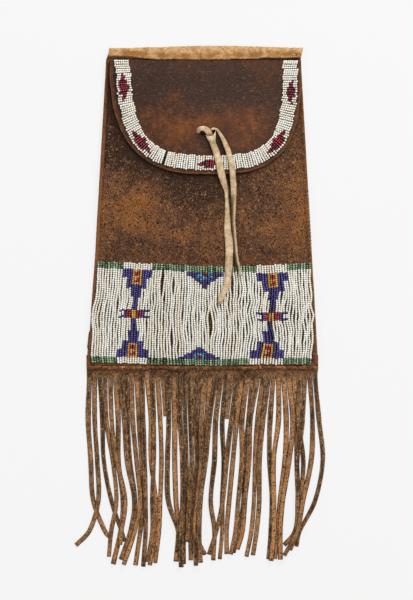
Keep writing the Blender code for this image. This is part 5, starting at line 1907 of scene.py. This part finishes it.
class Strand:
    """One strand of the fringe: its route in plan and the heights that it lies at."""

    def __init__(self, number, pitch, left_edge, pick):
        self.number = number
        self.root = left_edge + (number + 0.5) * pitch
        *drifts, length = STRANDS[number]
        downs = [*STRAND_STATIONS[:len(drifts) - 1], length * MM]
        route = [Vector((self.root, y)) for y in (SEAM_Y, BODY_BOTTOM_Y, ROOT_LINE_Y)]
        for drift, down in zip(drifts, downs):
            route.append(Vector((self.root + drift * MM, ROOT_LINE_Y - down)))
        self.points = even_points(route, STRAND_STEP)
        slit = BODY_BOTTOM_Y - pick.uniform(*SLIT_STARTS)
        phase = pick.uniform(0, 100)
        broad = pick.uniform(0.93, 1.09)
        self.widths, self.turns, self.cuts = [], [], []
        count = len(self.points) - 1
        for k, point in enumerate(self.points):
            share = k / count
            cut = ease((slit - point.y) / 0.003)
            free = ease((slit - point.y - 0.002) / 0.026)
            uneven = 0.14 * wave(share * 7, phase, 0.5)
            width = pitch * (broad + uneven) * lerp(1.03, 0.86, share)
            width = min(width, pitch * lerp(0.985, 1.30, free))
            self.widths.append(lerp(pitch * 1.05, width, cut))
            self.cuts.append(cut)
            twist = 0.8 * wave(share * 3.2, phase, 4.5)
            self.turns.append(twist * ease((share - 0.22) / 0.25))
        self.heights = [0.0] * len(self.points)

    def thick_at(self, k):
        """Height that a turned section takes up."""
        turn = abs(math.sin(self.turns[k]))
        return FRINGE_THICKNESS * math.cos(self.turns[k]) + self.widths[k] * turn


def lay_strands():
    """Every strand, with those that cross others laid on top of them."""
    left_edge = FRINGE_INSET - body_edge(-1, BODY_BOTTOM_Y)
    pitch = (body_edge(1, BODY_BOTTOM_Y) - FRINGE_INSET - left_edge) / len(STRANDS)
    pick = random.Random(STRAND_SEED)
    strands = [Strand(number, pitch, left_edge, pick) for number in range(len(STRANDS))]

    def meet(one, k, other):
        """Top of the other strand where section k of one lies over it, or nought."""
        point = one.points[k]
        top = 0.0
        for n, near in enumerate(other.points):
            if abs(near.y - point.y) < STRAND_STEP * 1.2 and point.y < ROOT_LINE_Y - 0.014:
                if abs(near.x - point.x) < (one.widths[k] + other.widths[n]) * 0.44:
                    top = max(top, other.heights[n] + other.thick_at(n))
        return top

    layers = []
    for strand in strands:
        def crosses(other):
            return any(meet(strand, k, other) for k in range(len(strand.points)))
        free = [layer for layer in layers
                if not any(crosses(other) for other in layer
                           if abs(other.number - strand.number) < STRAND_REACH)]
        if free:
            free[0].append(strand)
        else:
            layers.append([strand])
    laid = []
    for layer in layers:
        for strand in layer:
            near = [other for other in laid if abs(other.number - strand.number) < STRAND_REACH]
            rest = [max([meet(strand, k, other) for other in near], default=0.0)
                    + header_under(strand.points[k].y) for k in range(len(strand.points))]
            strand.heights = settle(rest, rounds=24, sag=0.00006, held=True)
        laid.extend(layer)
    return strands


class BAG_OT_fringe(bpy.types.Operator):
    """Cut the fringe's strip into its strands and let them fall"""
    bl_idname = "bag.fringe"
    bl_label = "Fringe"

    def execute(self, context):
        pick = random.Random(TONE_SEED)
        maker = RibbonMaker(bevel=0.34, raw=1.0)
        for strand in lay_strands():
            tone = STRAND_TONES.get(strand.number, pick.uniform(0.2, 0.75))
            points, wear = [], []
            for k, point in enumerate(strand.points):
                lift = strand.heights[k] + strand.thick_at(k) / 2
                lump = wave(point.x / 0.009, point.y / 0.006, 2.2)
                lift += 0.0004 * max(lump, 0.0) * ease((BODY_BOTTOM_Y - point.y) / 0.004)
                points.append(Vector((point.x, point.y, lift)))
                change = wave(point.y / 0.030, strand.number * 3.3, 1.1)
                low = 0.35 * ease((ROOT_LINE_Y - 0.05 - point.y) / 0.07)
                own = lerp(-1.25, 0.95, tone) + 0.8 * change + low
                wear.append(lerp(-0.25, own, strand.cuts[k]))
            # The strip is darker where it is not yet cut into strands
            maker.add(points, strand.turns, strand.widths, FRINGE_THICKNESS,
                      (strand.root / MM, SEAM_Y / MM), wear, strand.cuts, cup=0.08,
                      shaded_and_dirty=lambda a, share, cut: 0.35 * (1 - cut))
        piece = maker.finish("fringe_strands", ("fringe_hide", "fringe_edge"))
        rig.replaces(piece, "fringe")
        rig.slot(piece, "fringe_leather")
        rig.ride(piece, "bag")
        return {"FINISHED"}


def on_flap(x, y, grow):
    """Whether a place is over the flap, grown or shrunk all round."""
    depth = (ROOT_Y - y) / (FLAP_DROP + grow)
    side = abs(x - FLAP_CENTRE) / (FLAP_HALF_WIDTH + grow)
    return depth >= 0 and depth**FLAP_ROUNDNESS + side**FLAP_ROUNDNESS <= 1


def on_border(x, y, spare):
    """Whether a place is over the flap's bead border, or within spare of it."""
    inner = BORDER_MARGIN + BORDER_WIDTH + spare
    return on_flap(x, y, spare - BORDER_MARGIN) and not on_flap(x, y, -inner)


def tail_rest(x, y, spare=0.003):
    """Height of whatever lies under a tail of the thong."""
    level = front_top(x, y)
    if y < PANEL_BOTTOM_Y + PANEL_HEIGHT + spare:
        return level + CLEAR + BEAD_HEIGHT
    if on_border(x, y, spare):
        return flap_top(x, y) + CLEAR + BEAD_HEIGHT
    if on_flap(x, y, spare):
        return flap_top(x, y)
    return level


def tail_points(route, turn):
    """A tail's centre line and its turns, laid over whatever is under it."""
    line = even_points([below_root(place) for place in route], 0.0026)
    start, end, angle = turn
    count = len(line) - 1
    turns = [angle * ease((k / count - start) / (end - start)) for k in range(count + 1)]
    rests = []
    for k, point in enumerate(line):
        turned = abs(math.sin(turns[k]))
        half = turned * THONG_WIDTH / 2 + math.cos(turns[k]) * THONG_THICKNESS / 2
        rests.append(tail_rest(point.x, point.y) + 2 * CLEAR + half)
    heights = settle(rests, rounds=30, sag=0.00004, held=False)
    points = [Vector((place.x, place.y, z)) for place, z in zip(line, heights)]
    return points, turns


# Widths of the tails and of the strip through the left slit, as share of the length
# and millimetres
LEFT_WIDTHS = (
    (0.0, 4.4), (0.06, 4.9), (0.14, 5.4), (0.20, 5.7), (0.23, 5.8), (0.28, 4.8),
    (0.33, 3.0), (0.38, 2.8), (0.48, 4.2), (0.55, 5.5), (0.62, 6.2), (0.76, 6.1),
    (0.85, 4.8), (0.92, 4.8), (1.0, 3.4),
)
RIGHT_WIDTHS = (
    (0.0, 1.7), (0.05, 2.0), (0.10, 3.0), (0.18, 4.1), (0.26, 4.4), (0.34, 4.8),
    (0.45, 4.6), (0.60, 4.4), (0.75, 3.7), (0.90, 3.2), (1.0, 2.0),
)
# The strip through the left slit, across, down and above the flap
ARCH_ROUTE = (
    (-0.0037, 0.0592, -0.0030), (-0.0036, 0.0578, 0.0002), (-0.0026, 0.0562, 0.0024),
    (-0.0004, 0.0557, 0.0036), (0.0024, 0.0566, 0.0036), (0.0045, 0.0587, 0.0026),
    (0.0057, 0.0607, 0.0018), (0.0068, 0.0632, 0.0013),
)
ARCH_WIDTHS = ((0.0, 2.6), (0.15, 3.2), (0.4, 3.8), (0.7, 4.6), (1.0, 4.4))
ARCH_THICKNESS = 1.3 * THONG_THICKNESS
# The upper and lower end of the collar's middle line, and its sizes
COLLAR_TOP = (0.0064, 0.0619)
COLLAR_LOW = (0.0077, 0.0668)
COLLAR_HALF_WIDTH = 0.0038
COLLAR_EAR_LEFT = 0.0022
COLLAR_EAR_RIGHT = 0.0036
COLLAR_FLARE = 0.0009
COLLAR_DOME = 0.0018
COLLAR_THICKNESS = 0.0011


def shell(name, outer, thickness, materials, soil):
    """A closed sheet below a grid of points, darkened as much as each of its lines says."""
    height, width = len(outer), len(outer[0])
    verts = [point for line in outer for point in line]
    verts += [point - Vector((0.0, 0.0, thickness)) for point in verts]
    faces = []
    for row in range(height - 1):
        for column in range(width - 1):
            a = row * width + column
            patch = (a, a + 1, a + width + 1, a + width)
            faces.append(patch)
            faces.append(tuple(corner + height * width for corner in patch[::-1]))
    soil = [level for level in soil for _ in range(width)] * 2
    rim = [row * width + column for row, column in around(height, width)]
    for start, end in zip(rim, rim[1:] + rim[:1]):
        faces.append((start, end, end + height * width, start + height * width))
    piece = new_piece(name, verts, faces, materials)
    face_outwards(piece)
    store_flat(piece)
    store(piece, "wear", [-0.12] * len(verts))
    store(piece, "soil", soil)
    return piece


def length_of(points):
    return lengths_along(points)[-1]


class BAG_OT_thong(bpy.types.Operator):
    """Draw the buckskin thong up through the left slit and under its own collar"""
    bl_idname = "bag.thong"
    bl_label = "Thong"

    def execute(self, context):
        def left_dirt_and_shade(a, share, cut):
            # Dirt and the collar's painted shadow just below the collar, painted shade in the fold and along the
            # edges, and a stain further down
            by_collar = 0.40 * math.exp(-((share - 0.045) / 0.035) ** 2)
            fold = 0.30 * ease((a - 0.1) / 0.5) * math.exp(-((share - 0.34) / 0.08) ** 2)
            low = 0.16 * math.exp(-((share - 0.78) / 0.05) ** 2)
            edge = 0.14 * ease((abs(a) - 0.55) / 0.4)
            return by_collar + fold + low + edge

        def right_tail_shade(a, share, cut):
            # A slight even darkening, painted shade along the edges, and painted shade over the left part of the
            # turned tail
            turned = ease((share - 0.42) / 0.12) * ease((0.98 - share) / 0.05)
            edge = 0.14 * ease((abs(a) - 0.55) / 0.4)
            return 0.06 + edge + 0.80 * turned * ease((0.65 - a) / 0.5)

        self.tail("left", LEFT_TAIL, LEFT_TAIL_TURN, LEFT_WIDTHS, left_dirt_and_shade)
        self.tail("right", RIGHT_TAIL, RIGHT_TAIL_TURN, RIGHT_WIDTHS, right_tail_shade)
        self.arch()
        self.collar()
        return {"FINISHED"}

    def tail(self, side, route, turn, width_table, shaded_and_dirty):
        points, turns = tail_points(route, turn)
        count = len(points) - 1
        widths = []
        for k in range(count + 1):
            uneven = wave(k / 5.0, len(side) * 3.0, 0.0)
            widths.append(between(width_table, k / count) * MM * (1 + 0.07 * uneven))
        maker = RibbonMaker(bevel=0.25)
        maker.add(points, turns, widths, THONG_THICKNESS, (len(side) * 20.0, 0.0),
                  [0.0] * len(points), cup=0.03, shaded_and_dirty=shaded_and_dirty)
        piece = maker.finish(f"thong_{side}", ("worn_buckskin", "worn_buckskin"))
        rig.cord(piece, exit=points[0], length=length_of(points), diameter=THONG_WIDTH,
                far_end="bare", stiffness="limp", lay="loose", path=points)
        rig.replaces(piece, f"thong_tail_{side}")
        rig.slot(piece, "buckskin")
        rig.ride(piece, "flap")

    def arch(self):
        """The strip that comes up through the left slit and dives under the collar."""
        coarse = []
        for across, down, lift in ARCH_ROUTE:
            place = below_root((across, down))
            coarse.append(Vector((*place, flap_top(*place) + lift)))
        points = even_points(coarse, 0.0008)
        count = len(points) - 1
        widths = [between(ARCH_WIDTHS, k / count) * MM for k in range(count + 1)]
        maker = RibbonMaker(bevel=0.30)
        # Painted shadow of the collar over the strip's end, where it dives under
        maker.add(points, [0.0] * len(points), widths, ARCH_THICKNESS, (0.0, 0.0),
                  [0.0] * len(points), cup=0.10,
                  shaded_and_dirty=lambda a, share, cut: 0.75 * ease((share - 0.74) / 0.12))
        piece = maker.finish("thong_arch", ("worn_buckskin", "worn_buckskin"))
        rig.replaces(piece, "thong_knot")
        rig.slot(piece, "buckskin")
        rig.ride(piece, "flap")

    def collar(self):
        """The slit end that wraps around the strip like a cup, with its two ears up."""
        top = below_root(COLLAR_TOP)
        low = below_root(COLLAR_LOW)
        run = (low - top).normalized()
        side = Vector((-run.y, run.x))
        outer = []
        lines, columns = 14, 20
        for j in range(lines + 1):
            share = j / lines
            half = lerp(COLLAR_HALF_WIDTH, THONG_WIDTH / 2, ease(share))
            line = []
            for i in range(columns + 1):
                u = 2 * i / columns - 1
                ear = COLLAR_EAR_RIGHT if u > 0 else COLLAR_EAR_LEFT
                place = top.lerp(low, share) + side * (u * half)
                place -= run * (ear * abs(u) ** 3 * (1 - share) ** 2)
                place += side * (COLLAR_FLARE * max(u, 0.0) ** 3 * (1 - share) ** 2)
                dome = COLLAR_DOME * (1 - abs(u) ** 2.5) * (1 - 0.55 * ease(share))
                rest = tail_rest(place.x, place.y) + 2 * CLEAR + THONG_THICKNESS
                line.append(Vector((*place, rest + dome)))
            outer.append(line)
        # Darker towards the collar's lower end
        soil = [0.30 * ease(j / lines - 0.35) for j in range(lines + 1)]
        piece = shell("thong_collar", outer, COLLAR_THICKNESS, ("worn_buckskin",), soil)
        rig.replaces(piece, "thong_knot")
        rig.slot(piece, "buckskin")
        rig.ride(piece, "flap")


class BAG_OT_stage(bpy.types.Operator):
    """Set the floor, the soft lights and the camera"""
    bl_idname = "bag.stage"
    bl_label = "Stage"

    def execute(self, context):
        self.camera(context.scene)
        self.floor()
        self.lights(context.scene)
        return {"FINISHED"}

    def camera(self, scene):
        data = bpy.data.cameras.new("camera")
        data.lens = LENS
        data.sensor_width = SENSOR
        camera = bpy.data.objects.new("camera", data)
        scene.collection.objects.link(camera)
        half_height = PHOTO_SIZE[1] * PIXEL / 2
        distance = half_height * LENS / (SENSOR / 2)
        camera.location = (*FRAME_CENTRE, distance)
        data.clip_start = 0.01
        data.clip_end = 20
        scene.camera = camera

    def floor(self):
        bpy.ops.mesh.primitive_plane_add(size=FLOOR_SIZE, location=(0, 0, -0.0002))
        floor = bpy.context.active_object
        floor.name = "floor"
        # Matt backdrop paper: an even pale tone on which only faint shadows show
        material, tree, shader = new_material("pale_floor")
        shader.inputs["Base Color"].default_value = (*linear(FLOOR_PAPER), 1.0)
        shader.inputs["Roughness"].default_value = 0.9
        shader.inputs["Specular IOR Level"].default_value = 0.1
        rays = add_node(tree, "ShaderNodeLightPath").outputs
        seen = add_node(tree, "ShaderNodeMath", {"operation": "ADD"}, {
            0: rays["Is Camera Ray"], 1: rays["Is Glossy Ray"],
        }).outputs[0]
        seen_all = add_node(tree, "ShaderNodeMath", {"operation": "ADD", "use_clamp": True}, {
            0: seen, 1: rays["Is Transmission Ray"],
        }).outputs[0]
        share = add_node(tree, "ShaderNodeMath", {"operation": "MULTIPLY", 1: FLOOR_GLOW}, {
            0: seen_all,
        }).outputs[0]
        glow = add_node(tree, "ShaderNodeEmission", {
            "Color": (*linear(FLOOR_PALE), 1.0), "Strength": 1.0,
        }).outputs["Emission"]
        mixed = add_node(tree, "ShaderNodeMixShader", {}, {
            0: share, 1: shader.outputs["BSDF"], 2: glow,
        }).outputs["Shader"]
        tree.links.new(mixed, tree.nodes["Material Output"].inputs["Surface"])
        floor.data.materials.append(material)
        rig.stage(floor)

    def lights(self, scene):
        scene.view_settings.view_transform = "Standard"
        world = bpy.data.worlds.new("studio")
        world.use_nodes = True
        background = world.node_tree.nodes["Background"]
        background.inputs["Color"].default_value = (1.0, 1.0, 1.0, 1.0)
        background.inputs["Strength"].default_value = WORLD_LIGHT
        scene.world = world
        for name, place, size, power in LAMPS:
            data = bpy.data.lights.new(name, "AREA")
            data.size = size
            data.energy = power
            lamp = bpy.data.objects.new(name, data)
            lamp.location = place
            aim = -Vector(place)
            lamp.rotation_euler = aim.to_track_quat("-Z", "Y").to_euler()
            scene.collection.objects.link(lamp)


PIECES = (
    BAG_OT_stage, BAG_OT_thong, BAG_OT_back_panel, BAG_OT_side_welts, BAG_OT_front_panel,
    BAG_OT_top_binding, BAG_OT_stitches, BAG_OT_bottom_welt, BAG_OT_fringe, BAG_OT_flap,
    BAG_OT_panel_beads, BAG_OT_border_beads,
)


class BAG_PT_pieces(bpy.types.Panel):
    """The bag's pieces, sizes and colours"""
    bl_idname = "BAG_PT_pieces"
    bl_label = "Dispatch Bag"
    bl_space_type = "VIEW_3D"
    bl_region_type = "UI"
    bl_category = "Bag"

    def draw(self, context):
        for group in (context.scene.bag_sizes, context.scene.bag_colours):
            for name in group.__annotations__:
                self.layout.prop(group, name)
        for piece in PIECES:
            self.layout.operator(piece.bl_idname)


CLASSES = (BagSizes, BagColours, *PIECES, BAG_PT_pieces)


def register():
    for kind in CLASSES:
        bpy.utils.register_class(kind)
    bpy.types.Scene.bag_sizes = bpy.props.PointerProperty(type=BagSizes)
    bpy.types.Scene.bag_colours = bpy.props.PointerProperty(type=BagColours)


def unregister():
    del bpy.types.Scene.bag_colours
    del bpy.types.Scene.bag_sizes
    for kind in reversed(CLASSES):
        bpy.utils.unregister_class(kind)


def main():
    """Build every piece in order and write the sizes."""
    register()
    for piece in PIECES:
        family, action = piece.bl_idname.split(".")
        getattr(getattr(bpy.ops, family), action)()
    boxes = {
        "cad": [list(corner) for corner in CAD_BOX],
        "visual": [list(corner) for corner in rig.bounds()],
    }
    with open("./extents.json", "w") as out:
        json.dump(boxes, out)


if __name__ == "__main__":
    main()
